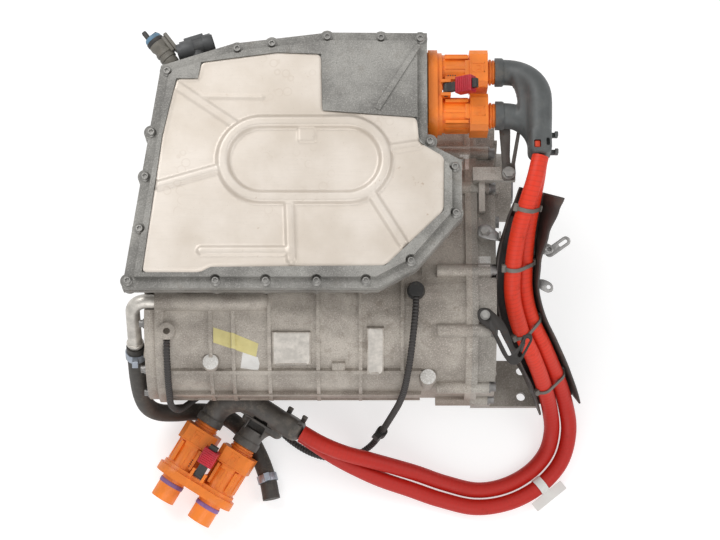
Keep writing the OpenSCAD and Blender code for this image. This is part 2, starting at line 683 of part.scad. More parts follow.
// Stamped bead from a to b, with sloping sides and round ends
module bead(a, b, w, rise) {
    d = b - a;
    translate([a[0], a[1], plate_z + plate_t - 0.5]) rotate([90, 0, 90 + atan2(d[1], d[0])])
        linear_extrude(norm(d)) bead_section(0, w, rise);
    for (p = [a, b])
        translate([p[0], p[1], plate_z + plate_t - 0.5])
            cylinder(r1 = w / 2 + proud, r2 = w / 4 + proud, h = rise + proud);
}
// Section of a bead whose middle is at x = mid
module bead_section(mid, w, rise)
    polygon([[mid - w / 2, 0], [mid + w / 2, 0], [mid + w / 4, rise], [mid - w / 4, rise]]);

track_at = [-281, -19];
track_half = 55;
track_r = 50;
track_w = 18;
bead_lines = [[[-405, -33], [-466, -54]], [[-300, -80], [-297, -146]], [[-308, -138], [-412, -138]],
    [[-186, -77], [-160, -122]], [[-162, -4], [-142, -3]], [[-436, 74], [-386, 30]]];

// Racetrack bead: two half rings and two straights
module racetrack() translate([track_at[0], track_at[1], plate_z + plate_t - 0.5]) {
    for (s = [0, 180])
        rotate(s) translate([track_half, 0, 0]) rotate(-90) rotate_extrude(angle = 180, $fn = 96)
            bead_section(track_r, track_w, bead_rise);
    for (s = [-1, 1])
        translate([-track_half - 1, s * track_r, 0]) rotate([90, 0, 90]) linear_extrude(2 * track_half + 2)
            bead_section(0, track_w - 2 * proud, bead_rise - proud);
}

module cover_plate() color([0.86, 0.83, 0.78]) {
    z_slab(plate_z, plate_z + plate_t) polygon(plate_pts);
    racetrack();
    for (l = bead_lines)
        bead(l[0], l[1], 9, bead_rise / 2);
    translate([track_at[0] + 2, track_at[1] + 35, 0])
        block([-13, -11, plate_z + plate_t - 0.5], [13, 11, plate_z + plate_t + 1.5]);
}

module cover_bolts() color([0.50, 0.50, 0.49])
    for (p = cover_bolt_pts)
        translate([p[0], p[1], cover_flange_top]) flange_bolt(cover_bolt_r, flange_t + seal_t + flange_t - 3);

board_z = flange_z - 12;
board_posts = [[-340, 60], [-180, 60], [-340, -130], [-180, -110]];

module power_module() color([0.20, 0.20, 0.22]) {
    block([-320, -80, tray_top], [-200, 40, tray_top + 16]);
    for (y = [-64:22:24])
        block([-308, y, tray_top + 15], [-212, y + 14, tray_top + 20]);
}
module link_capacitor() color([0.25, 0.27, 0.30]) {
    block([-424, -130, tray_top], [-354, -10, tray_top + 34]);
    for (y = [-110, -40])
        block([-355, y, tray_top + 10], [-346, y + 16, tray_top + 13]);
}
module control_board() color([0.10, 0.35, 0.20]) difference() {
    union() {
        block([-350, -140, board_z], [-170, 70, board_z + 1.6]);
        for (p = board_posts)
            z_cyl(p, tray_top, board_z + 1, 5);
        block([-300, -60, board_z + 1], [-270, -30, board_z + 5]);
        block([-230, -20, board_z + 1], [-200, 20, board_z + 4]);
    }
    for (p = board_posts)
        z_cyl(p, board_z - 8, board_z + 3, 1.6);
}
module hv_header() color([0.20, 0.20, 0.21]) difference() {
    block(plug_a_at - [header_deep, header_half[0], header_half[1]],
        plug_a_at + [-0.2, header_half[0], header_half[1]]);
    for (s = [-1, 1])
        x_cyl(plug_a_at[0] - header_deep + 4, plug_a_at[0] + 1,
            [plug_a_at[1] + s * plug_pitch / 2, plug_a_at[2]], shroud_r + 1);
}

back_a = tray_out[0];
back_b = tray_out[1];
back_angle = atan2(back_b[1] - back_a[1], back_b[0] - back_a[0]);
fitting_z = tray_floor + 28;
lv_reach = 38;
lv_r = 13;
lv_len = 50;
elbow_r = 8;
elbow_reach = 24;
elbow_len = 42;
elbow_turn = 110;

module on_back_wall(share)
    translate([back_a[0] + share * (back_b[0] - back_a[0]), back_a[1] + share * (back_b[1] - back_a[1]), fitting_z])
        rotate(back_angle) children();

module lv_connector() color([0.24, 0.25, 0.25]) on_back_wall(0.48) {
    rotate([-90, 0, 0]) cylinder(r = 9, h = lv_reach);
    block([-15, 0, -13], [15, 5, 13]);
    x_cyl(-lv_len / 2, lv_len / 2, [lv_reach, 0], lv_r - 2);
    x_cyl(-lv_len / 2 + 6, -lv_len / 2 + 22, [lv_reach, 0], lv_r);
    x_cyl(lv_len / 2 - 14, lv_len / 2 - 2, [lv_reach, 0], lv_r);
    block([-12, lv_reach + 8, -5], [14, lv_reach + 15, 5]);
}

module coolant_elbow() color([0.52, 0.53, 0.53]) on_back_wall(0.09) {
    rotate([-90, 0, 0]) cylinder(r = elbow_r + 1, h = elbow_reach);
    translate([0, elbow_reach, 0]) sphere(r = elbow_r + 1);
    translate([0, elbow_reach, 0]) rotate(elbow_turn) {
        x_cyl(0, elbow_len - 10, [0, 0], elbow_r);
        x_cyl(12, 18, [0, 0], elbow_r + 2);
    }
}
module elbow_plug() color([0.45, 0.60, 0.72]) on_back_wall(0.09)
    translate([0, elbow_reach, 0]) rotate(elbow_turn) {
        x_cyl(elbow_len - 10, elbow_len - 2, [0, 0], elbow_r + 1);
        x_cyl(elbow_len - 3, elbow_len + 8, [0, 0], elbow_r - 3);
    }

// High-voltage plug in its own frame: x leads from the flange face to the cables
body_x = plug_flange_t;
collar_x = body_x + plug_body_len;
neck_x = collar_x + plug_collar_len;
inlet_x = neck_x + plug_neck_len;
inlet_len = 13;
bend_x = inlet_x + inlet_len;
bend_in = 32;
bend_out = bend_in + cable_pitch;
exit_y = -89;
pivot = [body_x + 5, 0, 28];
pivot_r = 3;
ear_in = lever_w / 2 + 1;
ear_t = 4;
arm_t = 6;
lock_from = 18;
lock_len = 24;
lock_half = [lever_w / 2 + 5, 6.5];
plug_b_at = [-440, -404, -98];
plug_b_yaw = 58;
plug_b_pitch = 10;

module at_upper() translate(plug_a_at) children();
module at_lower() translate(plug_b_at) rotate([0, -plug_b_pitch, plug_b_yaw]) children();
module both_sides() for (s = [-1, 1]) translate([0, s * plug_pitch / 2, 0]) children();

module oblong(x0, x1, trim) {
    r = plug_flange_w / 2 - trim;
    reach = plug_flange_len / 2 - plug_flange_w / 2;
    for (s = [-1, 1])
        x_cyl(x0, x1, [s * reach, 0], r);
    block([x0, -reach, -r], [x1, reach, r]);
}

module plug_shell() difference() {
    union() {
        oblong(0, plug_flange_t - 6, 0);
        oblong(plug_flange_t - 7, plug_flange_t, 4);
        both_sides() {
            x_cyl(-shroud_len, 1, [0, 0], shroud_r);
            x_cyl(body_x - 1, collar_x + 1, [0, 0], plug_body_r);
            for (y = [-14, 0, 14])
                block([body_x + 4, y - 2, 0], [collar_x - 2, y + 2, plug_body_r + 1]);
            x_slab(collar_x, neck_x) octagon(plug_collar_half, 7);
            x_cyl(neck_x - 1, inlet_x, [0, 0], plug_neck_r);
        }
        for (s = [-1, 1])
            block([plug_flange_t - 2, s > 0 ? ear_in : -ear_in - ear_t, -5],
                [pivot[0] + 6, s > 0 ? ear_in + ear_t : -ear_in, pivot[2] + 6]);
    }
    translate(pivot) rotate([90, 0, 0]) cylinder(r = pivot_r + fit, h = 2 * plug_pitch, center = true);
    both_sides() x_cyl(-shroud_len - 1, -6, [0, 0], shroud_r - 5);
}

module octagon(half, cut) polygon([[-half, -half + cut], [-half + cut, -half], [half - cut, -half],
    [half, -half + cut], [half, half - cut], [half - cut, half], [-half + cut, half], [-half, half - cut]]);

// Lever in its own frame: the pivot is at 0 and the arm lies along x
module lever_form() {
    block([0, -lever_w / 2, -arm_t / 2], [lever_len, lever_w / 2, arm_t / 2]);
    rotate([90, 0, 0]) cylinder(r = arm_t / 2 + 1, h = lever_w, center = true);
    rotate([90, 0, 0]) cylinder(r = pivot_r, h = 2 * (ear_in + ear_t), center = true);
}
module lock_form() difference() {
    block([lock_from, -lock_half[0], -lock_half[1]], [lock_from + lock_len, lock_half[0], lock_half[1]]);
    block([lock_from - 1, -lever_w / 2 - fit, -arm_t / 2 - fit],
        [lock_from + lock_len + 1, lever_w / 2 + fit, arm_t / 2 + fit]);
}
module seal_rings() both_sides() x_ring(-12, -6, [0, 0], shroud_r + 0.8, shroud_r + fit);

module upper_plug_shell() color([0.93, 0.51, 0.16]) at_upper() plug_shell();
module upper_plug_lever() color([0.10, 0.10, 0.10])
    at_upper() translate(pivot) rotate([0, -upper_lever_angle, 0]) lever_form();
module upper_plug_lock() color([0.72, 0.12, 0.20])
    at_upper() translate(pivot) rotate([0, -upper_lever_angle, 0]) lock_form();
module lower_plug_shell() color([0.93, 0.51, 0.16]) at_lower() plug_shell();
module lower_plug_lever() color([0.30, 0.30, 0.31])
    at_lower() translate(pivot) rotate([0, -lower_lever_angle, 0]) lever_form();
module lower_plug_lock() color([0.72, 0.12, 0.20])
    at_lower() translate(pivot) rotate([0, -lower_lever_angle, 0]) lock_form();
module lower_plug_seals() color([0.53, 0.39, 0.59]) at_lower() seal_rings();

// Conduit elbow that turns both cables to the right of the plug
module conduit_form() {
    for (s = [1, -1]) {
        bend = s > 0 ? bend_out : bend_in;
        mid = s * plug_pitch / 2 - bend;
        x_cyl(inlet_x, bend_x + 1, [s * plug_pitch / 2, 0], conduit_r - proud);
        x_cyl(inlet_x, inlet_x + 6, [s * plug_pitch / 2, 0], conduit_r + 2);
        translate([bend_x, mid, 0]) rotate_extrude(angle = 90) translate([bend, 0]) circle(r = conduit_r);
        translate([bend_x + bend, mid + 1, 0]) rotate([90, 0, 0])
            cylinder(r = conduit_r - proud, h = mid + 1 - exit_y);
    }
    block([bend_x + bend_in, exit_y, -conduit_r + 1], [bend_x + bend_out, exit_y + 48, conduit_r - 1]);
    translate([0, 0, -conduit_r + 5]) linear_extrude(2 * conduit_r - 10)
        polygon([[bend_x + 14, 20], [bend_x + 36, 8], [bend_x + bend_out, -24], [bend_x + bend_out, exit_y + 30],
            [bend_x + bend_in, exit_y + 30], [bend_x + 22, -46], [bend_x + 12, -38]]);
    for (y = [exit_y + 4, exit_y + 26])
        block([bend_x + bend_out + conduit_r - 3, y, -6], [bend_x + bend_out + conduit_r + 8, y + 7, 6]);
}
module upper_conduit() color([0.34, 0.36, 0.36]) at_upper() conduit_form();
module lower_boot() color([0.37, 0.35, 0.33]) at_lower() conduit_form();

strap_w = 16;
strap_t = 3;
strap_top = plug_a_at[2] - conduit_r;

module conduit_strap() color([0.52, 0.52, 0.51]) difference() {
    x_slab(lug_bolt_at[0] - strap_w / 2, lug_bolt_at[0] + strap_w / 2)
        polygon([[lug_bolt_at[1] - 10, lug_top], [lug_bolt_at[1] + 10, lug_top], [34, strap_top - strap_t],
            [66, strap_top - strap_t], [66, strap_top], [32, strap_top], [lug_bolt_at[1] + 9, lug_top + strap_t],
            [lug_bolt_at[1] - 10, lug_top + strap_t]]);
    z_cyl(lug_bolt_at, lug_top - 1, lug_top + strap_t + 1, lug_bolt_r + gap);
}

// Cords: routes, and tubes swept along them
front_y = motor_c[0] - barrel_r;
top_z = plug_a_at[2];
pipe_end = [chamber_x0 - 30, coolant_c[0] - 48, coolant_c[1] - 64];
pair_route = [[25, -7, top_z], [25, -36, top_z - 0.8], [19, -66, top_z - 9], [9, -98, top_z - 26], [3, -134, top_z - 46],
    [3, -171, top_z - 70], [13, -204, 72], [29, -234, 26], [49, -262, -26], [64, -290, -76], [69, -322, -109],
    [60, -357, -118.5], [34, -387, -118.5], [-4, -408, -118.5], [-48, -415, -118.5], [-94, -405, -118.5],
    [-135, -392, -115.5], [-172, -381.5, -106.5], [-205, -371.5, -94], [-235, -360, -82.5], [-262.2, -346.7, -75],
    [-288, -330.6, -72.9]];
hose_route = [pipe_end, pipe_end + [0, -18, -24], pipe_end + [0, -36, -58], [-506, -286, -24], [-500, -296, -56],
    [-487, -299, -84], [-466, -297, -104], [-443, -294, -113], [-416, -295, -115.6], [-390, -305, -115.6],
    [-366, -327, -115.6], [-349, -357, -115.6], [-338, -387, -115.6], [-332, -416, -115.6]];
harness_route = [[grommet_at[0], grommet_at[1] - 10.4, grommet_z + 9], [-137, front_y + 93, grommet_z + 9],
    [-139, front_y + 71, grommet_z + 4], [-142, front_y + 45, grommet_z - 9], [-146, front_y + 20, grommet_z - 31],
    [-151, front_y - 1, 77], [-157, front_y - 12, 40], [-164, front_y - 19, 0], [-171, front_y - 25, -40],
    [-180, -328, -78], [-192, -340, -107], [-208, -350, -121], [-230, -358, -125], [-254, -357, -125],
    [-278, -350, -125], [-302, -336, -125], [-326, -315, -125], [-350, -292, -125], [-378, -272, -122],
    [-406, -266, -110], [-430, -276, -84], [-446, -294, -50], [-455, front_y - 13, -10],
    [harness_boss_at[0], front_y - 13, 30], [harness_boss_at[0], front_y - 3, 68], [harness_boss_at[0], front_y + 17, 101],
    [harness_boss_at[0], front_y + 40, harness_boss_top - 14], [harness_boss_at[0], harness_boss_at[1] - 11.4, harness_boss_top - 7]];

function heading(p, i) = unit(p[min(i + 1, len(p) - 1)] - p[max(i - 1, 0)]);
function sideways(t) = unit([t[1], -t[0], 0]);
function upward(t) = cross(sideways(t), t);
// Route moved to the left of its heading by d
function beside(p, d) = [for (i = [0:len(p) - 1]) p[i] - d * sideways(heading(p, i))];
function ring_pts(r, sides) = [for (k = [0:sides - 1]) polar(r, 360 * k / sides)];

// Solid swept along a route from an outline in [sideways, upward]
module sweep(p, outline) {
    n = len(outline);
    rings = len(p);
    pts = [for (i = [0:rings - 1])
        let (t = heading(p, i), s = sideways(t), u = upward(t))
        for (q = outline) p[i] + q[0] * s + q[1] * u];
    faces = concat(
        [[for (k = [0:n - 1]) k]],
        [[for (k = [0:n - 1]) (rings - 1) * n + n - 1 - k]],
        [for (i = [0:rings - 2])
            for (k = [0:n - 1])
                for (half = [0, 1])
                    half == 0
                        ? [i * n + k, (i + 1) * n + k, i * n + (k + 1) % n]
                        : [i * n + (k + 1) % n, (i + 1) * n + k, (i + 1) * n + (k + 1) % n]]);
    polyhedron(points = pts, faces = faces, convexity = 6);
}
// Children in the frame of a route point: x sideways, y upward, z along the route
module on_route(p, i) {
    t = heading(p, i);
    s = sideways(t);
    u = upward(t);
    multmatrix([[s[0], u[0], t[0], p[i][0]], [s[1], u[1], t[1], p[i][1]], [s[2], u[2], t[2], p[i][2]], [0, 0, 0, 1]])
        children();
}

cable_a_route = beside(pair_route, cable_pitch / 2);
cable_b_route = beside(pair_route, -cable_pitch / 2);
module hv_cable_a() color([0.88, 0.27, 0.13]) sweep(cable_a_route, ring_pts(cable_d / 2, 10));
module hv_cable_b() color([0.88, 0.27, 0.13]) sweep(cable_b_route, ring_pts(cable_d / 2, 10));
module coolant_hose() color([0.20, 0.20, 0.20]) sweep(hose_route, ring_pts(hose_d / 2, 10));
module harness_tube() color([0.12, 0.12, 0.12]) sweep(harness_route, ring_pts(harness_d / 2, 8));

channel_room = 2;
channel_t = 3;
channel_in = (cable_pitch + cable_d) / 2 + channel_room;
channel_out = channel_in + channel_t;
channel_low = cable_d / 2 + 1.5;
channel_lip = 6;
channel_route = [for (i = [2:9]) pair_route[i]];
channel_outline = [[-channel_out, -channel_low - channel_t], [channel_out, -channel_low - channel_t],
    [channel_out, channel_lip], [channel_in, channel_lip], [channel_in, -channel_low],
    [-channel_in, -channel_low], [-channel_in, channel_lip], [-channel_out, channel_lip]];
module cable_carrier() color([0.22, 0.18, 0.16]) sweep(channel_route, channel_outline);

tie_room = 1.5;
tie_t = 2;
tie_w = 6;
module cable_ties() color([0.16, 0.16, 0.15])
    for (i = [3, 4, 6, 8])
        on_route(pair_route, i) linear_extrude(tie_w, center = true) difference() {
            translate([-channel_out - tie_room - tie_t, -channel_low - channel_t - tie_room - tie_t])
                square([2 * (channel_out + tie_room + tie_t),
                    channel_low + channel_t + cable_d / 2 + 2 * (tie_room + tie_t)]);
            translate([-channel_out - tie_room, -channel_low - channel_t - tie_room])
                square([2 * (channel_out + tie_room), channel_low + channel_t + cable_d / 2 + 2 * tie_room]);
        }

// Brackets, pipe, clamps and small fittings
bracket_posts = [[-46, -94], [-46, -206]];
bracket_post_top = lug_top;
bracket_post_r = 9;
bracket_bolt_r = 3;
bracket_t = 3;

module carrier_bracket() color([0.55, 0.55, 0.54]) difference() {
    union() {
        block([bracket_posts[0][0] - 12, bracket_posts[0][1] - 10, bracket_post_top],
            [-25, bracket_posts[0][1] + 10, bracket_post_top + bracket_t]);
        block([-28, bracket_posts[0][1] - 10, bracket_post_top - 4], [-25, bracket_posts[0][1] + 10, bracket_post_top + 22]);
    }
    z_cyl(bracket_posts[0], bracket_post_top - 1, bracket_post_top + bracket_t + 1, bracket_bolt_r + gap);
}

module steel_bracket() color([0.13, 0.12, 0.11]) difference() {
    union() {
        z_slab(bracket_post_top, bracket_post_top + bracket_t)
            polygon([[-58, -196], [-40, -194], [-26, -212], [-12, -252], [-6, -236], [4, -230], [4, -244], [-8, -266],
                [-18, -264], [-34, -224], [-56, -216]]);
        block([1, -244, bracket_post_top - 56], [4, -230, bracket_post_top + bracket_t]);
    }
    z_cyl(bracket_posts[1], bracket_post_top - 1, bracket_post_top + bracket_t + 1, bracket_bolt_r + gap);
    z_cyl([-15, -257], bracket_post_top - 1, bracket_post_top + bracket_t + 1, 2.5);
}

// Hex head bolt that points along -Z, with its head seat at z = 0
module hex_bolt(r, len) {
    cylinder(r = r * bolt_flange, h = 2);
    translate([0, 0, 1]) cylinder(r = r * 1.8, h = r * 1.7, $fn = 6);
    translate([0, 0, -len]) cylinder(r = r, h = len + 1);
}
module bracket_bolts() color([0.48, 0.48, 0.47]) {
    for (p = bracket_posts)
        translate([p[0], p[1], bracket_post_top + bracket_t]) hex_bolt(bracket_bolt_r, 16);
    translate([lug_bolt_at[0], lug_bolt_at[1], lug_top + strap_t]) hex_bolt(lug_bolt_r, 12);
}

oil_plug_pts = [[-62, 58], [-62, -74]];
oil_plug_r = 7;
module oil_plugs() color([0.45, 0.45, 0.46])
    for (p = oil_plug_pts)
        translate([cover_x, p[0], p[1]]) rotate([0, 90, 0]) {
            cylinder(r = oil_plug_r + 5, h = 3);
            difference() {
                translate([0, 0, 2]) cylinder(r = oil_plug_r + 1, h = 6);
                translate([0, 0, 4]) cylinder(r = 5, h = 6, $fn = 6);
            }
            translate([0, 0, -case_wall + 1]) cylinder(r = oil_plug_r, h = case_wall);
        }

pipe_bend = 18;
pipe_lean = 53.13;
pipe_turn_x = chamber_x0 - 12;
pipe_in = chamber_x0 + 38;
pipe_drop = 62;

module in_pipe_frame() translate([pipe_turn_x, coolant_c[0], coolant_c[1]]) rotate([pipe_lean, 0, 0]) children();
module pipe_solid(r) {
    x_cyl(0, pipe_in - pipe_turn_x, [0, 0], r);
    translate([0, -pipe_bend, 0]) rotate(90) rotate_extrude(angle = 90) translate([pipe_bend, 0]) circle(r = r);
    translate([-pipe_bend, -pipe_bend, 0]) rotate([90, 0, 0]) cylinder(r = r, h = pipe_drop);
}
module coolant_pipe() color([0.75, 0.73, 0.70]) in_pipe_frame() {
    pipe_solid(pipe_d / 2);
    translate([-pipe_bend, -pipe_bend - pipe_drop + 8, 0]) rotate([90, 0, 0]) cylinder(r = pipe_d / 2 + 2, h = 4);
}

clamp_t = 1.8;
clamp_w = 11;
module clamp_band() difference() {
    union() {
        cylinder(r = hose_d / 2 + gap + clamp_t, h = clamp_w, center = true);
        block([hose_d / 2, -4, -clamp_w / 2], [hose_d / 2 + 10, 4, clamp_w / 2]);
    }
    cylinder(r = hose_d / 2 + gap, h = clamp_w + 2, center = true);
}
module hose_clamps() color([0.60, 0.62, 0.66]) {
    in_pipe_frame() translate([-pipe_bend, -pipe_bend - pipe_drop - 14, 0]) rotate([90, 0, 0]) rotate(90) clamp_band();
    on_route(hose_route, len(hose_route) - 2) rotate(90) clamp_band();
}

module harness_grommet() color([0.10, 0.10, 0.10]) {
    z_cyl(grommet_at, grommet_z - 12, grommet_z + 1, grommet_hole_r);
    z_cyl(grommet_at, grommet_z, grommet_z + 3, grommet_r + 2);
    z_cyl(grommet_at, grommet_z + 2, grommet_z + 16, grommet_r);
}

module harness_clip() color([0.13, 0.13, 0.13]) on_route(harness_route, 9) difference() {
    union() {
        cylinder(r = harness_d / 2 + 3, h = 12, center = true);
        block([-5, harness_d / 2, -5], [5, harness_d / 2 + 9, 5]);
    }
    cylinder(r = harness_d / 2 + gap, h = 14, center = true);
}

tag_w = 12;
tag_room = 0.7;
tag_t = 0.6;
tag_long = 52;
tag_reach = 15;
module cable_tag() color([0.90, 0.89, 0.87]) on_route(cable_a_route, 12) {
    difference() {
        cylinder(r = cable_d / 2 + tag_room + tag_t, h = tag_w, center = true);
        cylinder(r = cable_d / 2 + tag_room, h = tag_w + 2, center = true);
    }
    block([-cable_d / 2 - tag_reach, -0.5, -tag_long / 2], [-cable_d / 2 - tag_room - 0.1, 0.5, tag_long / 2]);
}

motor_housing();
motor_end_cover();
end_cover_bolts();
gearbox_cover();
gearbox_bolts();
oil_plugs();
stator_core();
stator_windings();
rotor_shaft();
rotor_core();
motor_pinion();
countershaft();
counter_wheel();
shaft_bearings();
ring_gear();
ring_gear_bolts();
differential_case();
side_gear_right();
side_gear_left();
planet_gear_back();
planet_gear_front();
cross_pin();
output_seals();
inverter_tray();
tray_bolts();
cover_seal();
inverter_cover();
cover_plate();
cover_bolts();
power_module();
link_capacitor();
control_board();
hv_header();
lv_connector();
coolant_elbow();
elbow_plug();
upper_plug_shell();
upper_plug_lever();
upper_plug_lock();
upper_conduit();
conduit_strap();
bracket_bolts();
cable_carrier();
carrier_bracket();
steel_bracket();
cable_ties();
hv_cable_a();
hv_cable_b();
lower_boot();
lower_plug_shell();
lower_plug_lever();
lower_plug_lock();
lower_plug_seals();
cable_tag();
coolant_pipe();
hose_clamps();
coolant_hose();
harness_grommet();
harness_tube();
harness_clip();
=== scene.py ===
"""Electric drive unit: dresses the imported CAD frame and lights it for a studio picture.

The castings keep their CAD solids and get rounded edges and procedural finishes. Cords, the stamped
plate, the screws, the hoods, the brackets and the small fittings are made here, in the frame of the CAD.
"""
import logging
import math
from dataclasses import dataclass
from enum import Enum
from typing import Any, Callable, Iterable, Sequence

import bmesh
import bpy
from mathutils import Matrix, Vector
from mathutils.bvhtree import BVHTree
from mathutils.geometry import delaunay_2d_cdt
from mathutils.kdtree import KDTree


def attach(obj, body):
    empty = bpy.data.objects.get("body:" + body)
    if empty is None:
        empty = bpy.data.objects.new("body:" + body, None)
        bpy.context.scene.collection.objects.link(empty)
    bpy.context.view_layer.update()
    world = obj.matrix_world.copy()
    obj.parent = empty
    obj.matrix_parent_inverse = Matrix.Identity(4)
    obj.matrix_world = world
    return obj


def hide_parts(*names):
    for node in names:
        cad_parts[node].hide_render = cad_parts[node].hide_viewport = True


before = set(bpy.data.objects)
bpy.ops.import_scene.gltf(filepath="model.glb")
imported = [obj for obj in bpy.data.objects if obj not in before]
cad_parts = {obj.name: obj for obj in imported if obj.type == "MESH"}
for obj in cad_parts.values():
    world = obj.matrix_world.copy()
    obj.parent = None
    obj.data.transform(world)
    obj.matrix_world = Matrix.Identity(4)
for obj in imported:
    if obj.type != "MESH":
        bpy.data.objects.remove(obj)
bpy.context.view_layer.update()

LOG = logging.getLogger("drive_unit")
MM = 0.001
ROOT = "unit"
FLOOR_Z = -0.130
# Flat share of a bead's half width
BEAD_FLAT = 0.42
SPIN_SEED = 7
# Points nearer than this are one, in metres
MERGE = 1e-6
# How delaunay_2d_cdt keeps the inside of an outline, and its tolerance
INSIDE_ONLY, CDT_GAP = 1, 1e-5
# Edges sharper than this stay sharp, in degrees: first on most pieces, then on the others
EDGE, CORD_EDGE, HOOD_EDGE, SEAM_EDGE = 40.0, 60, 70, 62
SHEET_EDGE, PLATE_EDGE, RING_EDGE, REPEAT_EDGE = 60, 50, 45, 35
# Half the way between the two halves of a round hole, in millimetres
HOLE_GAP = 0.05
# Points of a spline between two knots
SPLINE_STEPS = 24

Colour = tuple[float, float, float]
Point = tuple[float, float, float]
Pair = tuple[float, float]
Shape = tuple[Sequence[Sequence[float]], Sequence[Sequence[int]]]
Outline = Sequence[Sequence[float]]
Object = bpy.types.Object

# Takes a shape that was turned round Z to one round X
ALONG_X = Matrix(((0, 0, 1, 0), (0, 1, 0, 0), (-1, 0, 0, 0), (0, 0, 0, 1)))


def srgb(red: int, green: int, blue: int) -> Colour:
    """Turn display values from 0 to 255 into linear ones.

    Args:
        red, green, blue: display values.

    Returns:
        The linear colour.
    """
    def line(value: int) -> float:
        """Give the linear share of one display value."""
        share = value / 255
        return share / 12.92 if share <= 0.04045 else ((share + 0.055) / 1.055) ** 2.4
    return line(red), line(green), line(blue)


class Sock:
    """A shader value that takes part in Python arithmetic."""

    def __init__(self, shade: "Shade", out: bpy.types.NodeSocket | None) -> None:
        """Keep the tree and the output socket."""
        self.shade = shade
        self.out = out

    def maths(self, operation: str, first: Any, second: Any) -> "Sock":
        """Add one Math node.

        Args:
            operation: the Math node's operation.
            first, second: sockets or numbers.

        Returns:
            The node's result.
        """
        return self.shade.node("ShaderNodeMath", {"operation": operation}, {0: first, 1: second})

    def __add__(self, other: Any) -> "Sock":
        """Return self + other."""
        return self.maths("ADD", self, other)

    def __radd__(self, other: Any) -> "Sock":
        """Return other + self."""
        return self.maths("ADD", other, self)

    def __sub__(self, other: Any) -> "Sock":
        """Return self - other."""
        return self.maths("SUBTRACT", self, other)

    def __rsub__(self, other: Any) -> "Sock":
        """Return other - self."""
        return self.maths("SUBTRACT", other, self)

    def __mul__(self, other: Any) -> "Sock":
        """Return self * other."""
        return self.maths("MULTIPLY", self, other)

    def __rmul__(self, other: Any) -> "Sock":
        """Return other * self."""
        return self.maths("MULTIPLY", other, self)

    def sine(self) -> "Sock":
        """Return the sine of self."""
        return self.maths("SINE", self, 0.0)

    def above(self, low: float, high: float) -> "Sock":
        """Fade from 0 at low to 1 at high.

        Args:
            low, high: ends of the fade.

        Returns:
            The clamped share.
        """
        return self.shade.node("ShaderNodeMapRange", {"interpolation_type": "SMOOTHSTEP"},
                               {"Value": self, "From Min": low, "From Max": high})


class Shade:
    """The node tree of one material."""

    def __init__(self, name: str) -> None:
        """Start an empty material.

        Args:
            name: the material's name.
        """
        self.material = bpy.data.materials.new(name)
        self.material.use_nodes = True
        self.tree = self.material.node_tree
        self.tree.nodes.clear()

    def node(self, kind: str, settings: dict[str, Any] | None = None,
             inputs: dict[Any, Any] | None = None, out: Any = 0) -> Sock:
        """Add a node, set it up and feed it.

        Args:
            kind: the node's type name.
            settings: attributes, set before the inputs.
            inputs: socket name or number to a value or a Sock.
            out: which output to hand back, or None at the end of the tree.

        Returns:
            The chosen output.
        """
        made = self.tree.nodes.new(kind)
        for key, value in (settings or {}).items():
            setattr(made, key, value)
        for key, value in (inputs or {}).items():
            if isinstance(value, Sock):
                self.tree.links.new(value.out, made.inputs[key])
            else:
                socket = made.inputs[key]
                four = socket.type == "RGBA" and len(value) == 3
                socket.default_value = (*value, 1) if four else value
        return Sock(self, None if out is None else made.outputs[out])

    def place(self) -> Sock:
        """Return the Object coordinates."""
        return self.node("ShaderNodeTexCoord", out="Object")

    def noise(self, scale: float, detail: float = 4, rough: float = 0.55, stretch: Point = (1, 1, 1)) -> Sock:
        """Add a noise of a given scale per metre.

        Args:
            scale: features per metre.
            detail, rough: octaves and their weight.
            stretch: scale of the Object coordinates along each axis.

        Returns:
            The noise value.
        """
        where = self.place()
        if stretch != (1, 1, 1):
            where = self.node("ShaderNodeMapping", {}, {"Vector": where, "Scale": stretch})
        return self.node("ShaderNodeTexNoise", {},
                         {"Vector": where, "Scale": scale, "Detail": detail, "Roughness": rough})

    def cells(self, scale: float) -> Sock:
        """Add a Voronoi distance of a given scale per metre.

        Args:
            scale: cells per metre.

        Returns:
            The distance to the nearest cell centre.
        """
        return self.node("ShaderNodeTexVoronoi", {}, {"Vector": self.place(), "Scale": scale})

    def mix(self, share: Any, first: Any, second: Any) -> Sock:
        """Mix two colours.

        Args:
            share: 0 for the first colour, 1 for the second.
            first, second: colours or sockets.

        Returns:
            The mixed colour.
        """
        return self.node("ShaderNodeMix", {"data_type": "RGBA"}, {0: share, 6: first, 7: second}, 2)

    def split(self, vector: Sock, axis: int) -> Sock:
        """Return one component of a vector."""
        return self.node("ShaderNodeSeparateXYZ", {}, {0: vector}, axis)

    def bump(self, height: Sock, depth: float, strength: float = 1.0) -> Sock:
        """Turn a height into a normal.

        Args:
            height: the height, about 0 to 1.
            depth: the height of 1, in metres.
            strength: the node's strength.

        Returns:
            The normal.
        """
        return self.node("ShaderNodeBump", {}, {"Height": height, "Distance": depth, "Strength": strength})

    def close(self, inputs: dict[str, Any]) -> bpy.types.Material:
        """Finish the tree with one Principled shader.

        Args:
            inputs: the shader's sockets.

        Returns:
            The material.
        """
        shader = self.node("ShaderNodeBsdfPrincipled", {}, inputs)
        self.node("ShaderNodeOutputMaterial", {}, {"Surface": shader}, None)
        return self.material


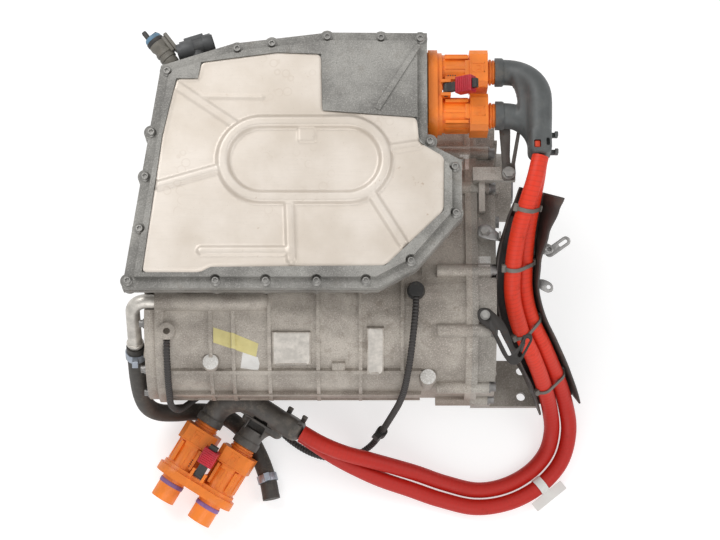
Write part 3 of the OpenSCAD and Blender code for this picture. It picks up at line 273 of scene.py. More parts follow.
@dataclass(frozen=True)
class CastFinish:
    """As-cast aluminium: pebbled skin, grey blotches, pits, pale oxide and brown dirt."""

    name: str
    light: Colour
    dark: Colour
    dirt: Colour = srgb(104, 90, 76)
    dirt_share: float = 0.35
    oxide_share: float = 0.3
    grain: float = 620.0
    metallic: float = 0.25
    low_share: float = 0.0

    def build(self) -> bpy.types.Material:
        """Make the material.

        Returns:
            The material.
        """
        shade = Shade(self.name)
        blotch = shade.noise(14, 5, 0.6)
        fine = shade.noise(self.grain, 3, 0.6)
        streak = shade.noise(60, 4, 0.65, (1, 1, 0.35))
        base = shade.mix(blotch.above(0.36, 0.66), self.dark, self.light)
        base = shade.mix(fine.above(0.5, 0.72) * 0.5, base, tuple(min(1, c * 1.5) for c in self.light))
        base = shade.mix(fine.above(0.48, 0.26) * 0.5, base, tuple(c * 0.55 for c in self.dark))
        # Browner and darker towards the bottom: by height, with a little noise, the colour turns grey-brown
        # below 100 mm above the origin
        height = shade.split(shade.place(), 2) + shade.noise(20, 3) * 0.05
        base = shade.mix(height.above(0.1, 0.03) * self.low_share, base, srgb(124, 106, 94))
        grime = streak.above(0.5, 0.72) * shade.noise(7, 3).above(0.42, 0.62) * self.dirt_share
        base = shade.mix(grime, base, self.dirt)
        oxide = shade.noise(240, 6, 0.75).above(0.55, 0.7) * shade.noise(17, 2).above(0.5, 0.62)
        base = shade.mix(oxide * self.oxide_share, base, srgb(205, 200, 190))
        pits = shade.cells(320).above(0.16, 0.06)
        base = shade.mix(pits * 0.45, base, tuple(c * 0.35 for c in self.dark))
        relief = fine * 0.7 + shade.noise(170, 3) * 0.6 - pits * 0.5
        return shade.close({"Base Color": base, "Metallic": self.metallic,
                            "Roughness": 0.42 + blotch * 0.22 + grime * 0.4,
                            "Normal": shade.bump(relief, 0.0006, 0.55)})


@dataclass(frozen=True)
class SheetFinish:
    """Pale stamped sheet with a fine rolled grain, water marks and faint brown stains."""

    name: str
    pale: Colour
    warm: Colour
    stain: Colour = srgb(150, 116, 84)

    def build(self) -> bpy.types.Material:
        """Make the material.

        Returns:
            The material.
        """
        shade = Shade(self.name)
        cloud = shade.noise(9, 5, 0.6)
        grain = shade.noise(420, 3, 0.6, (0.08, 1, 1))
        drops = shade.cells(70)
        ring = drops.above(0.30, 0.36) * drops.above(0.46, 0.40)
        base = shade.mix(cloud.above(0.3, 0.7), self.warm, self.pale)
        base = shade.mix(grain.above(0.45, 0.75) * 0.22, base, srgb(196, 188, 178))
        spots = shade.noise(90, 5, 0.7).above(0.64, 0.74) * shade.noise(13, 2).above(0.46, 0.6)
        base = shade.mix(spots * 0.6, base, self.stain)
        base = shade.mix(ring * shade.noise(16, 2).above(0.55, 0.7) * 0.22, base, srgb(176, 160, 142))
        specks = shade.cells(260).above(0.09, 0.04)
        base = shade.mix(specks * 0.5, base, srgb(110, 92, 74))
        return shade.close({"Base Color": base, "Metallic": 0.28, "Roughness": 0.34 + cloud * 0.2 + spots * 0.2,
                            "Normal": shade.bump(grain * 0.4 + cloud, 0.0005, 0.35)})


@dataclass(frozen=True)
class MouldedFinish:
    """Moulded plastic or rubber: spark-eroded grain, uneven tone, dust and scuffs."""

    name: str
    colour: Colour
    dust: Colour = srgb(150, 140, 126)
    dust_share: float = 0.3
    rough: float = 0.5
    grain: float = 900.0
    tone: float = 0.22

    def build(self) -> bpy.types.Material:
        """Make the material.

        Returns:
            The material.
        """
        shade = Shade(self.name)
        cloud = shade.noise(24, 4, 0.6)
        fine = shade.noise(self.grain, 2, 0.5)
        dark = tuple(c * (1 - self.tone) for c in self.colour)
        light = tuple(min(1, c * (1 + self.tone)) for c in self.colour)
        base = shade.mix(cloud.above(0.35, 0.65), dark, light)
        dust = shade.noise(55, 6, 0.75).above(0.46, 0.72) * shade.noise(11, 2).above(0.4, 0.62)
        base = shade.mix(dust * self.dust_share, base, self.dust)
        scuff = shade.noise(130, 3, 0.6, (1, 0.2, 1)).above(0.66, 0.74)
        base = shade.mix(scuff * 0.25, base, light)
        return shade.close({"Base Color": base, "Roughness": self.rough + dust * 0.3 - scuff * 0.1,
                            "Normal": shade.bump(fine + dust * 0.5, 0.0003, 0.4)})


@dataclass(frozen=True)
class SteelFinish:
    """Plated or bare steel with turned lines, dull bloom and rust at places."""

    name: str
    colour: Colour
    rust_share: float = 0.2
    metallic: float = 0.75
    rough: float = 0.34

    def build(self) -> bpy.types.Material:
        """Make the material.

        Returns:
            The material.
        """
        shade = Shade(self.name)
        bloom = shade.noise(70, 5, 0.65)
        line = shade.noise(900, 2, 0.5, (1, 1, 0.1))
        base = shade.mix(bloom.above(0.35, 0.68), tuple(c * 0.7 for c in self.colour), self.colour)
        rust = shade.noise(160, 6, 0.7).above(0.56, 0.7) * shade.noise(26, 2).above(0.5, 0.64)
        base = shade.mix(rust * self.rust_share, base, srgb(112, 74, 48))
        return shade.close({"Base Color": base, "Metallic": self.metallic,
                            "Roughness": self.rough + bloom * 0.2 + rust * 0.3,
                            "Normal": shade.bump(line + bloom, 0.0002, 0.35)})


@dataclass(frozen=True)
class WrapFinish:
    """Sleeve wound round a cord, with shade painted between its turns: turns follow the cord's UV map, whose V
    is in metres.
    """

    name: str
    colour: Colour
    # Colour of the shade painted in the valleys between the turns
    groove_shade: Colour
    pitch: float
    slant: float = 1.0
    rough: float = 0.42
    depth: float = 0.0005
    dirt: Colour = srgb(92, 62, 50)
    dirt_share: float = 0.25
    # Colour painted as shade towards the floor, or None
    low: Colour | None = None
    groove_shade_share: float = 0.6

    def build(self) -> bpy.types.Material:
        """Make the material.

        Returns:
            The material.
        """
        shade = Shade(self.name)
        where = shade.node("ShaderNodeTexCoord", out="UV")
        turn = shade.split(where, 0) * self.slant + shade.split(where, 1) * (1 / self.pitch)
        wave = (turn * (2 * math.pi)).sine() * 0.5 + 0.5
        cloud = shade.noise(16, 4, 0.6)
        light = tuple(min(1, c * 1.12) for c in self.colour)
        base = shade.mix(cloud.above(0.36, 0.66), self.colour, light)
        # Painted shade: from 70 mm above the origin down to 90 mm below it, the cord turns to the darker low
        # colour
        if self.low:
            base = shade.mix(shade.split(shade.place(), 2).above(0.07, -0.09), base, self.low)
        # Painted shade: the valleys between the turns are darkened
        base = shade.mix(wave.above(0.3, 0.02) * self.groove_shade_share, base, self.groove_shade)
        dirt = shade.noise(85, 6, 0.72).above(0.52, 0.72) * shade.noise(12, 2).above(0.45, 0.62)
        base = shade.mix(dirt * self.dirt_share, base, self.dirt)
        weave = shade.noise(1100, 2)
        return shade.close({"Base Color": base, "Roughness": self.rough + dirt * 0.3 + cloud * 0.1,
                            "Normal": shade.bump(wave + weave * 0.15, self.depth, 0.6)})


class Finish(Enum):
    """Every finish of the unit."""

    HOUSING = CastFinish("cast_housing", srgb(178, 170, 160), srgb(140, 132, 123),
                         dirt_share=0.4, low_share=0.6)
    GEARBOX = CastFinish("cast_gearbox", srgb(170, 165, 157), srgb(130, 124, 117),
                         dirt_share=0.45, low_share=0.2)
    FRAME = CastFinish("cast_frame", srgb(150, 148, 143), srgb(112, 110, 106),
                       dirt_share=0.25, oxide_share=0.15)
    TRAY = CastFinish("cast_tray", srgb(142, 138, 132), srgb(102, 98, 93))
    PLATE = SheetFinish("stamped_plate", srgb(216, 207, 197), srgb(198, 187, 174))
    BOLT = SteelFinish("zinc_bolts", srgb(150, 148, 144))
    CASE_BOLT = SteelFinish("case_bolts", srgb(136, 134, 132), 0.35)
    GEAR = SteelFinish("gear_steel", srgb(170, 170, 172), 0.05, 0.9, 0.25)
    SHEET_STEEL = SteelFinish("sheet_steel", srgb(150, 148, 146), 0.3)
    CLAMP = SteelFinish("clamp_steel", srgb(165, 172, 182), 0.15)
    PIPE = SteelFinish("pipe_aluminium", srgb(205, 200, 192), 0.05, 0.6, 0.3)
    DARK_STEEL = SteelFinish("dark_steel", srgb(100, 95, 90), 0.3, 0.4, 0.45)
    MILLED = SteelFinish("milled_face", srgb(198, 192, 184), 0.05, 0.35, 0.42)
    GROUND = CastFinish("ground_spot", srgb(226, 224, 220), srgb(188, 184, 178),
                        dirt_share=0.0, oxide_share=0.5)
    BLACK_STEEL = SteelFinish("black_steel", srgb(44, 40, 37), 0.45, 0.2, 0.45)
    COPPER = SteelFinish("copper", srgb(190, 120, 70), 0.1)
    LAMINATION = SteelFinish("lamination", srgb(110, 112, 116), 0.2)
    ORANGE = MouldedFinish("orange_plastic", srgb(238, 128, 38), srgb(170, 110, 60), 0.3, 0.42, tone=0.1)
    ORANGE_RED = MouldedFinish("cable_in_window", srgb(212, 62, 24), srgb(150, 70, 40), 0.15, 0.45, tone=0.06)
    CRIMSON = MouldedFinish("crimson_plastic", srgb(186, 26, 46), srgb(150, 90, 90), 0.15, 0.35)
    CONDUIT = MouldedFinish("conduit_plastic", srgb(78, 81, 81), dust_share=0.25)
    BOOT = MouldedFinish("boot_plastic", srgb(74, 70, 66), dust_share=0.55)
    CARRIER = MouldedFinish("carrier_plastic", srgb(48, 40, 36), srgb(120, 100, 84), 0.4)
    BLACK = MouldedFinish("black_plastic", srgb(38, 36, 35), dust_share=0.25)
    GREY = MouldedFinish("grey_plastic", srgb(70, 71, 72), dust_share=0.3)
    TIE = MouldedFinish("tie_plastic", srgb(104, 98, 92), dust_share=0.35, rough=0.45)
    ELBOW = MouldedFinish("elbow_plastic", srgb(110, 106, 98), dust_share=0.4)
    BLUE = MouldedFinish("blue_plastic", srgb(92, 126, 150), dust_share=0.2)
    PURPLE = MouldedFinish("purple_rubber", srgb(128, 92, 146), dust_share=0.2)
    RUBBER = MouldedFinish("black_rubber", srgb(34, 33, 32), rough=0.6)
    HOSE = MouldedFinish("hose_rubber", srgb(54, 51, 47), dust_share=0.45, rough=0.62, grain=500)
    BOARD = MouldedFinish("board", srgb(40, 110, 70))
    PAPER = MouldedFinish("paper", srgb(228, 226, 222), srgb(190, 184, 174), 0.5, 0.75, 260, 0.04)
    TAPE = MouldedFinish("masking_tape", srgb(216, 204, 142), srgb(180, 160, 110), 0.3, 0.7, 300, 0.06)
    # In both wraps the second colour is the shade painted between the turns
    CABLE = WrapFinish("cable_jacket", srgb(212, 46, 10), srgb(168, 30, 8), 0.0062, 1.0, 0.5, 0.0002,
                       # The low colour is shade painted towards the floor
                       low=srgb(182, 20, 2), groove_shade_share=0.25)
    SLEEVE = WrapFinish("harness_sleeve", srgb(42, 38, 36), srgb(14, 13, 12), 0.0042, 0.0, 0.5, 0.0008)

    def material(self) -> bpy.types.Material:
        """Give the material, made at the first call.

        Returns:
            The material.
        """
        found = bpy.data.materials.get(self.value.name + "_finish")
        if found is None:
            found = self.value.build()
            found.name = self.value.name + "_finish"
        return found


def skin(name: str, verts: Sequence[Any], faces: Sequence[Sequence[int]], finish: Finish,
         flat_angle: float = EDGE) -> Object:
    """Make a mesh object at the origin.

    Args:
        name: the piece's name.
        verts: places in metres.
        faces: vertex numbers.
        finish: its finish.
        flat_angle: edges sharper than this stay sharp, in degrees.

    Returns:
        The object, linked to the scene.
    """
    mesh = bpy.data.meshes.new(name)
    mesh.from_pydata([tuple(v) for v in verts], [], [tuple(f) for f in faces])
    mesh.validate()
    return wear(bpy.data.objects.new(name, mesh), finish, flat_angle)


def solid(name: str, shape: Shape, finish: Finish, place: Matrix = Matrix()) -> Object:
    """Make a mesh object from a shape in millimetres.

    Args:
        name: the piece's name.
        shape: vertices and faces.
        finish: its finish.
        place: the frame that the shape stands in.

    Returns:
        The object, linked to the scene.
    """
    verts, faces = shape
    return skin(name, [place @ Vector(v) * MM for v in verts], faces, finish)


def wear(made: Object, finish: Finish, flat_angle: float = EDGE) -> Object:
    """Link a mesh object, recalculate its normals and give it a finish.

    Args:
        made: the object.
        finish: its finish.
        flat_angle: edges sharper than this stay sharp, in degrees.

    Returns:
        The object.
    """
    if made.name not in bpy.context.scene.collection.objects:
        bpy.context.scene.collection.objects.link(made)
    work = bmesh.new()
    work.from_mesh(made.data)
    bmesh.ops.remove_doubles(work, verts=work.verts, dist=MERGE)
    bmesh.ops.recalc_face_normals(work, faces=work.faces)
    work.to_mesh(made.data)
    work.free()
    made.data.materials.clear()
    made.data.materials.append(finish.material())
    made.data.shade_smooth()
    made.data.set_sharp_from_angle(angle=math.radians(flat_angle))
    return made


def soften(made: Object, width: float, segments: int = 2, angle: float = 32.0) -> None:
    """Round an object's edges with a live Bevel.

    Args:
        made: the object.
        width: the bevel's width in metres.
        segments: steps across the bevel.
        angle: edges sharper than this are rounded, in degrees.
    """
    bevel = made.modifiers.new("round", "BEVEL")
    bevel.width = width
    bevel.segments = segments
    bevel.limit_method = "ANGLE"
    bevel.angle_limit = math.radians(angle)
    bevel.use_clamp_overlap = True
    bevel.harden_normals = True


def joined(name: str, parts: Iterable[Object], finish: Finish) -> Object:
    """Join meshes into one object.

    Args:
        name: the new object's name.
        parts: objects to take in; they are removed.
        finish: the finish of the result.

    Returns:
        The joined object.
    """
    work = bmesh.new()
    for part in parts:
        held = part.data.copy()
        held.transform(part.matrix_world)
        work.from_mesh(held)
        bpy.data.objects.remove(part)
        bpy.data.meshes.remove(held)
    mesh = bpy.data.meshes.new(name)
    work.to_mesh(mesh)
    work.free()
    return wear(bpy.data.objects.new(name, mesh), finish)


def cut_away(made: Object, cutters: Iterable[Object]) -> None:
    """Take cutters out of an object by live Booleans.

    Args:
        made: the object.
        cutters: what is taken out of it.
    """
    for cutter in cutters:
        cut = made.modifiers.new("cut", "BOOLEAN")
        cut.operation, cut.object = "DIFFERENCE", cutter


def baked(made: Object, finish: Finish, flat_angle: float = EDGE, cutters: Sequence[Object] = ()) -> Object:
    """Turn an object with modifiers into a plain mesh.

    Args:
        made: the object; it is removed.
        finish: its finish.
        flat_angle: edges sharper than this stay sharp, in degrees.
        cutters: objects of its modifiers; they are removed.

    Returns:
        The plain object.
    """
    graph = bpy.context.evaluated_depsgraph_get()
    mesh = bpy.data.meshes.new_from_object(made.evaluated_get(graph))
    name = made.name
    for spent in (made, *cutters):
        bpy.data.objects.remove(spent)
    return wear(bpy.data.objects.new(name, mesh), finish, flat_angle)


def turned(profile: Sequence[Pair], sides: int = 32,
           lobes: Callable[[int, float], float] | None = None) -> Shape:
    """Turn a profile round Z.

    Args:
        profile: (radius, height) pairs; a radius of 0 closes an end.
        sides: steps round the axis.
        lobes: factor on the radius for a profile number and an angle, or None.

    Returns:
        Vertices and faces.
    """
    verts: list[Point] = []
    rings: list[list[int]] = []
    for number, (radius, height) in enumerate(profile):
        if radius == 0:
            rings.append([len(verts)] * sides)
            verts.append((0, 0, height))
            continue
        rings.append(list(range(len(verts), len(verts) + sides)))
        for k in range(sides):
            angle = 2 * math.pi * k / sides
            grown = radius * (lobes(number, angle) if lobes else 1)
            verts.append((grown * math.cos(angle), grown * math.sin(angle), height))
    faces = []
    for low, high in zip(rings, rings[1:]):
        for k in range(sides):
            loop = [low[k], low[(k + 1) % sides], high[(k + 1) % sides], high[k]]
            faces.append(list(dict.fromkeys(loop)))
    return verts, faces


def frame_of(heading: Vector) -> tuple[Vector, Vector]:
    """Give the level and the upward direction across a heading.

    Args:
        heading: unit direction.

    Returns:
        The sideways and the upward unit vectors.
    """
    side = Vector((heading.y, -heading.x, 0))
    side = side.normalized() if side.length > 1e-6 else Vector((1, 0, 0))
    return side, side.cross(heading)


def spline(a: Vector, b: Vector, c: Vector, d: Vector, share: float) -> Vector:
    """Give a place between the middle two of four knots.

    Args:
        a, b, c, d: the knots.
        share: 0 at b, 1 at c.

    Returns:
        The place on the curve.
    """
    return 0.5 * (2 * b + (c - a) * share + (2 * a - 5 * b + 4 * c - d) * share ** 2
                  + (3 * b - a - 3 * c + d) * share ** 3)


def smooth_route(points: Sequence[Any], step: float) -> list[Vector]:
    """Lay a smooth curve through route points and cut it into even steps.

    Args:
        points: places in metres.
        step: length of a step in metres.

    Returns:
        Places along the curve.
    """
    knots = [Vector(p) for p in points]
    ends = [2 * knots[0] - knots[1], *knots, 2 * knots[-1] - knots[-2]]
    fine: list[Vector] = []
    for a, b, c, d in zip(ends, ends[1:], ends[2:], ends[3:]):
        fine += [spline(a, b, c, d, k / SPLINE_STEPS) for k in range(SPLINE_STEPS)]
    fine.append(knots[-1])
    lengths = [0.0]
    for a, b in zip(fine, fine[1:]):
        lengths.append(lengths[-1] + (b - a).length)
    count = max(2, round(lengths[-1] / step))
    placed, i = [], 0
    for k in range(count + 1):
        goal = lengths[-1] * k / count
        while i < len(fine) - 2 and lengths[i + 1] < goal:
            i += 1
        share = (goal - lengths[i]) / max(1e-9, lengths[i + 1] - lengths[i])
        placed.append(fine[i].lerp(fine[i + 1], min(1, share)))
    return placed


def route_length(path: Sequence[Vector]) -> float:
    """Return the length of a path in metres."""
    return sum((b - a).length for a, b in zip(path, path[1:]))


def tube(name: str, path: Sequence[Vector], radius: Callable[[float], float], sides: int,
         finish: Finish) -> Object:
    """Sweep a round section along a path, with U round it and V in metres along it.

    Args:
        name: the piece's name.
        path: places in metres.
        radius: radius in metres at a length along the path.
        sides: steps round the section.
        finish: its finish.

    Returns:
        The tube, closed at both ends.
    """
    mesh = bpy.data.meshes.new(name)
    work = bmesh.new()
    uv = work.loops.layers.uv.new("cord")
    rings, along, total = [], [], 0.0
    for i, place in enumerate(path):
        heading = (path[min(i + 1, len(path) - 1)] - path[max(i - 1, 0)]).normalized()
        side, up = frame_of(heading)
        total += (place - path[i - 1]).length if i else 0.0
        along.append(total)
        r = radius(total)
        rings.append([work.verts.new(place + r * (math.cos(2 * math.pi * k / sides) * side
                                                  + math.sin(2 * math.pi * k / sides) * up))
                      for k in range(sides)])
    for i in range(len(path) - 1):
        for k in range(sides):
            j = (k + 1) % sides
            face = work.faces.new((rings[i][k], rings[i][j], rings[i + 1][j], rings[i + 1][k]))
            corners = ((k, i), (k + 1, i), (k + 1, i + 1), (k, i + 1))
            for loop, (u, v) in zip(face.loops, corners):
                loop[uv].uv = (u / sides, along[v])
    work.faces.new(list(reversed(rings[0])))
    work.faces.new(rings[-1])
    bmesh.ops.recalc_face_normals(work, faces=work.faces)
    work.to_mesh(mesh)
    work.free()
    made = bpy.data.objects.new(name, mesh)
    bpy.context.scene.collection.objects.link(made)
    mesh.materials.append(finish.material())
    mesh.shade_smooth()
    mesh.set_sharp_from_angle(angle=math.radians(CORD_EDGE))
    return made


class Repeats:
    """Geometry Nodes that set one shape on many points, all turned one way."""

    def __init__(self) -> None:
        """Build the tree once."""
        self.tree = bpy.data.node_groups.new("shape_on_points", "GeometryNodeTree")
        face = self.tree.interface
        face.new_socket(name="Points", in_out="INPUT", socket_type="NodeSocketGeometry")
        self.keys = {}
        for label, kind in (("Shape", "NodeSocketObject"), ("Turn", "NodeSocketVector"),
                            ("Spin Spread", "NodeSocketFloat"), ("Finish", "NodeSocketMaterial")):
            self.keys[label] = face.new_socket(name=label, in_out="INPUT", socket_type=kind).identifier
        face.new_socket(name="Mesh", in_out="OUTPUT", socket_type="NodeSocketGeometry")
        nodes, links = self.tree.nodes, self.tree.links
        start, end = nodes.new("NodeGroupInput"), nodes.new("NodeGroupOutput")
        info, spin = nodes.new("GeometryNodeObjectInfo"), nodes.new("FunctionNodeRandomValue")
        pack, turn = nodes.new("ShaderNodeCombineXYZ"), nodes.new("FunctionNodeRotateEuler")
        seat = nodes.new("GeometryNodeInstanceOnPoints")
        real, dress = nodes.new("GeometryNodeRealizeInstances"), nodes.new("GeometryNodeSetMaterial")
        turn.space = "LOCAL"
        spin.inputs["Seed"].default_value = SPIN_SEED
        for source, given, target, taken in (
                (start, "Points", seat, "Points"), (start, "Shape", info, "Object"),
                (info, "Geometry", seat, "Instance"), (start, "Spin Spread", spin, 3), (spin, 1, pack, "Z"),
                (start, "Turn", turn, "Rotation"), (pack, 0, turn, "Rotate By"), (turn, 0, seat, "Rotation"),
                (seat, 0, real, 0), (real, 0, dress, "Geometry"), (start, "Finish", dress, "Material"),
                (dress, 0, end, 0)):
            links.new(source.outputs[given], target.inputs[taken])

    def make(self, name: str, places: Sequence[Any], shape: Object, finish: Finish,
             turn: Point = (0, 0, 0), spread: float = 1.0) -> Object:
        """Set a shape on points and make the result a plain mesh.

        Args:
            name: the piece's name.
            places: the points in metres.
            shape: the object to repeat; it stays out of the scene.
            finish: the finish of the result.
            turn: Euler turn of every copy in radians.
            spread: largest spin of a copy about its own axis in radians.

        Returns:
            The finished piece.
        """
        points = bpy.data.meshes.new(name + "_points")
        points.from_pydata([tuple(p) for p in places], [], [])
        holder = bpy.data.objects.new(name + "_points", points)
        bpy.context.scene.collection.objects.link(holder)
        modifier = holder.modifiers.new("repeat", "NODES")
        modifier.node_group = self.tree
        values = {"Shape": shape, "Turn": turn, "Spin Spread": spread, "Finish": finish.material()}
        for label, value in values.items():
            modifier[self.keys[label]] = value
        graph = bpy.context.evaluated_depsgraph_get()
        mesh = bpy.data.meshes.new_from_object(holder.evaluated_get(graph))
        bpy.data.objects.remove(holder)
        mesh.name = name
        return wear(bpy.data.objects.new(name, mesh), finish, REPEAT_EDGE)


REPEATS = Repeats()


def loose_shape(name: str, shape: Shape) -> Object:
    """Make an object for Repeats, outside the scene.

    Args:
        name: its name.
        shape: vertices in millimetres, and faces.

    Returns:
        The object.
    """
    mesh = bpy.data.meshes.new(name)
    mesh.from_pydata([tuple(Vector(v) * MM) for v in shape[0]], [], [tuple(f) for f in shape[1]])
    mesh.validate()
    return bpy.data.objects.new(name, mesh)


def add(made: Object, slot: str, *nodes: str, body: str = ROOT) -> Object:
    """Set a piece on its body and hide the CAD nodes that it stands for.

    Args:
        made: the piece.
        slot: not used.
        nodes: CAD nodes that it stands for.
        body: the body that it rides on.

    Returns:
        The piece.
    """
    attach(made, body)
    if nodes:
        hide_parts(*nodes)
    LOG.info("piece %s rides on %s", made.name, body)
    return made


@dataclass
class Studio:
    """Camera, lamps, white surroundings and the pale floor."""

    eye: Point = (-0.2093, -0.8318, 3.3701)
    lens: float = 125.98
    tilt: float = 12.0
    sky: float = 0.42
    key: float = 42.0
    fill: float = 17.0
    aim: Point = (-0.25, -0.1, 0.1)
    floor_half: float = 4.0
    floor_gap: float = 0.0004
    floor_grey: float = 0.55
    floor_glow: float = 0.6

    def camera(self) -> None:
        """Set the camera at the photograph's viewing angle."""
        data = bpy.data.cameras.new("camera")
        data.lens = self.lens
        data.sensor_width = 36
        data.clip_end = 50
        made = bpy.data.objects.new("camera", data)
        made.location = self.eye
        made.rotation_euler = (math.radians(self.tilt), 0, 0)
        bpy.context.scene.collection.objects.link(made)
        bpy.context.scene.camera = made

    def lamp(self, name: str, place: Point, size: float, power: float) -> None:
        """Add one soft square lamp that points at the unit.

        Args:
            name: its name.
            place: where it is, in metres.
            size: its side in metres.
            power: its power in watts.
        """
        data = bpy.data.lights.new(name, "AREA")
        data.size = size
        data.energy = power
        made = bpy.data.objects.new(name, data)
        made.location = place
        made.rotation_euler = (Vector(place) - Vector(self.aim)).to_track_quat("Z", "Y").to_euler()
        bpy.context.scene.collection.objects.link(made)

    def light(self) -> None:
        """Add the lamps and the even white surroundings."""
        self.lamp("lamp_back_left", (-1.5, 1.3, 2.3), 1.5, self.key)
        self.lamp("lamp_right", (1.7, -0.5, 1.9), 1.6, self.fill)
        self.lamp("lamp_front", (-0.4, -2.1, 1.5), 1.6, self.fill)
        world = bpy.data.worlds.new("surroundings")
        bpy.context.scene.world = world
        world.use_nodes = True
        tree = world.node_tree
        tree.nodes.clear()
        path, end = tree.nodes.new("ShaderNodeLightPath"), tree.nodes.new("ShaderNodeOutputWorld")
        back, total = tree.nodes.new("ShaderNodeBackground"), None
        for flag in ("Is Camera Ray", "Is Glossy Ray", "Is Transmission Ray"):
            if total is None:
                total = path.outputs[flag]
                continue
            join = tree.nodes.new("ShaderNodeMath")
            join.operation = "MAXIMUM"
            tree.links.new(total, join.inputs[0])
            tree.links.new(path.outputs[flag], join.inputs[1])
            total = join.outputs[0]
        level = tree.nodes.new("ShaderNodeMapRange")
        level.inputs["To Min"].default_value = self.sky
        tree.links.new(total, level.inputs["Value"])
        tree.links.new(level.outputs[0], back.inputs["Strength"])
        back.inputs["Color"].default_value = (1, 1, 1, 1)
        tree.links.new(back.outputs[0], end.inputs[0])

    def floor(self) -> None:
        """Lay the pale floor, white to the camera but for the object's shadow."""
        half = self.floor_half
        corners = [(-half, -half), (half, -half), (half, half), (-half, half)]
        mesh = bpy.data.meshes.new("floor")
        mesh.from_pydata([(x, y, FLOOR_Z - self.floor_gap) for x, y in corners], [], [(0, 1, 2, 3)])
        made = bpy.data.objects.new("floor", mesh)
        bpy.context.scene.collection.objects.link(made)
        shade = Shade("floor_paper")
        shade.close({"Base Color": (self.floor_grey,) * 3, "Roughness": 0.9,
                     "Emission Color": (1, 1, 1), "Emission Strength": self.floor_glow})
        mesh.materials.append(shade.material)

    def build(self) -> None:
        """Set up the whole studio."""
        self.camera()
        self.light()
        self.floor()
        bpy.context.scene.view_settings.view_transform = "Standard"


def metres(points: Iterable[Sequence[float]]) -> list[Vector]:
    """Turn millimetre points into metre vectors."""
    return [Vector(p) * MM for p in points]


@dataclass
class HighVoltageLead:
    """The pair of jacketed cables from the upper conduit to the lower boot."""

    spacing: float = 0.012
    diameter: float = 0.022
    sides: int = 28
    step: float = 0.004
    wave: float = 0.006
    wave_rate: float = 90.0
    route: tuple[Point, ...] = (
        (25, -7, 190), (19, -36, 189), (11, -66, 180), (3.5, -98, 162), (-0.5, -134, 139), (0, -171, 113),
        (11, -204, 75), (31, -234, 28), (49, -262, -25), (63, -290, -74), (69, -322, -104),
        (60, -357, -116.5), (34, -387, -118.5), (-4, -408, -118.5), (-48, -415, -118.5),
        (-94, -405, -117.2), (-135, -392, -109), (-172.5, -381.8, -96), (-205.5, -372, -81.5),
        (-236, -361.5, -69.5), (-263.5, -348.2, -62.5), (-289.1, -332.4, -61))
    roll: tuple[float, ...] = (90, 84, 74, 62, 50, 40, 31, 24, 18, 12, 6, 2, 0, 0, 0, 3, 13, 30, 52, 72, 85, 90)

    def path(self, offset: float) -> list[Vector]:
        """Give the line of one cable.

        Args:
            offset: its place beside the pair's middle, in metres.

        Returns:
            Places along the cable.
        """
        knots = metres(self.route)
        placed = []
        for i, (knot, roll) in enumerate(zip(knots, self.roll)):
            heading = knots[min(i + 1, len(knots) - 1)] - knots[max(i - 1, 0)]
            side, up = frame_of(heading.normalized())
            turn = math.radians(roll)
            placed.append(knot - offset * (math.cos(turn) * side + math.sin(turn) * up))
        return smooth_route(placed, self.step)

    def build(self) -> None:
        """Make both cables."""
        far = ["lower_boot", "lower_plug_shell"]
        for node, offset, held in (("hv_cable_a", self.spacing, [*far, "cable_tag"]),
                                   ("hv_cable_b", -self.spacing, far)):
            path = self.path(offset)
            r = self.diameter / 2
            made = tube("jacket_" + node[-1], path,
                        lambda s: r * (1 + self.wave * math.sin(s * self.wave_rate)),
                        self.sides, Finish.CABLE)
            add(made, "cable_jacket", node)
            route_length(path)


@dataclass
class CoolantHose:
    """The rubber hose from the aluminium pipe to its open end on the floor."""

    diameter: float = 0.024
    sides: int = 28
    step: float = 0.003
    grip: float = 0.035
    grip_length: float = 0.03
    rim: float = 0.02
    rim_length: float = 0.006
    route: tuple[Point, ...] = (
        (-508, -234, 70), (-508, -252, 46), (-508, -270, 12), (-506, -286, -24), (-500, -296, -56),
        (-487, -299, -84), (-466, -297, -104), (-443, -294, -113), (-416, -295, -115.6),
        (-390, -305, -115.6), (-366, -327, -115.6), (-349, -357, -115.6), (-338, -387, -115.6),
        (-332, -416, -115.6))

    def build(self) -> None:
        """Make the hose, wider over the pipe and with a rolled rim at its far end."""
        path = smooth_route(metres(self.route), self.step)
        total = route_length(path)
        r = self.diameter / 2

        def radius(s: float) -> float:
            """Give the radius at a length along the hose."""
            grip = self.grip * (1 - min(1, s / self.grip_length))
            return r * (1 + grip + (self.rim if total - s < self.rim_length else 0))

        made = tube("hose_skin", path, radius, self.sides, Finish.HOSE)
        add(made, "hose_rubber", "coolant_hose")


@dataclass
class HarnessSleeve:
    """The corrugated harness tube from the grommet round to the housing's left end."""

    diameter: float = 0.009
    sides: int = 14
    pitch: float = 0.0042
    ring_steps: int = 5
    waist: float = 0.96
    swell: float = 0.07
    route: tuple[Point, ...] = (
        (-136, -183.4, 147), (-137, -201, 147), (-139, -223, 142), (-142, -249, 129), (-146, -274, 107),
        (-151, -295, 77), (-157, -306, 40), (-164, -313, 0), (-171, -319, -40), (-180, -328, -78),
        (-192, -340, -107), (-208, -350, -121), (-230, -358, -125), (-254, -357, -125), (-278, -350, -125),
        (-302, -336, -125), (-326, -315, -125), (-350, -292, -125), (-378, -272, -122), (-406, -266, -110),
        (-430, -276, -84), (-446, -294, -50), (-455, -307, -10), (-462, -307, 30), (-462, -297, 68),
        (-462, -277, 101), (-462, -254, 124), (-462, -237.4, 131))

    def build(self) -> None:
        """Make the sleeve with its rings."""
        path = smooth_route(metres(self.route), self.pitch / self.ring_steps)
        r = self.diameter / 2
        made = tube("sleeve_rings", path,
                    lambda s: r * (self.waist + self.swell * math.sin(2 * math.pi * s / self.pitch)),
                    self.sides, Finish.SLEEVE)
        add(made, "harness_sleeve", "harness_tube")
        coarse = path[::self.ring_steps] + [path[-1]]
        route_length(coarse)


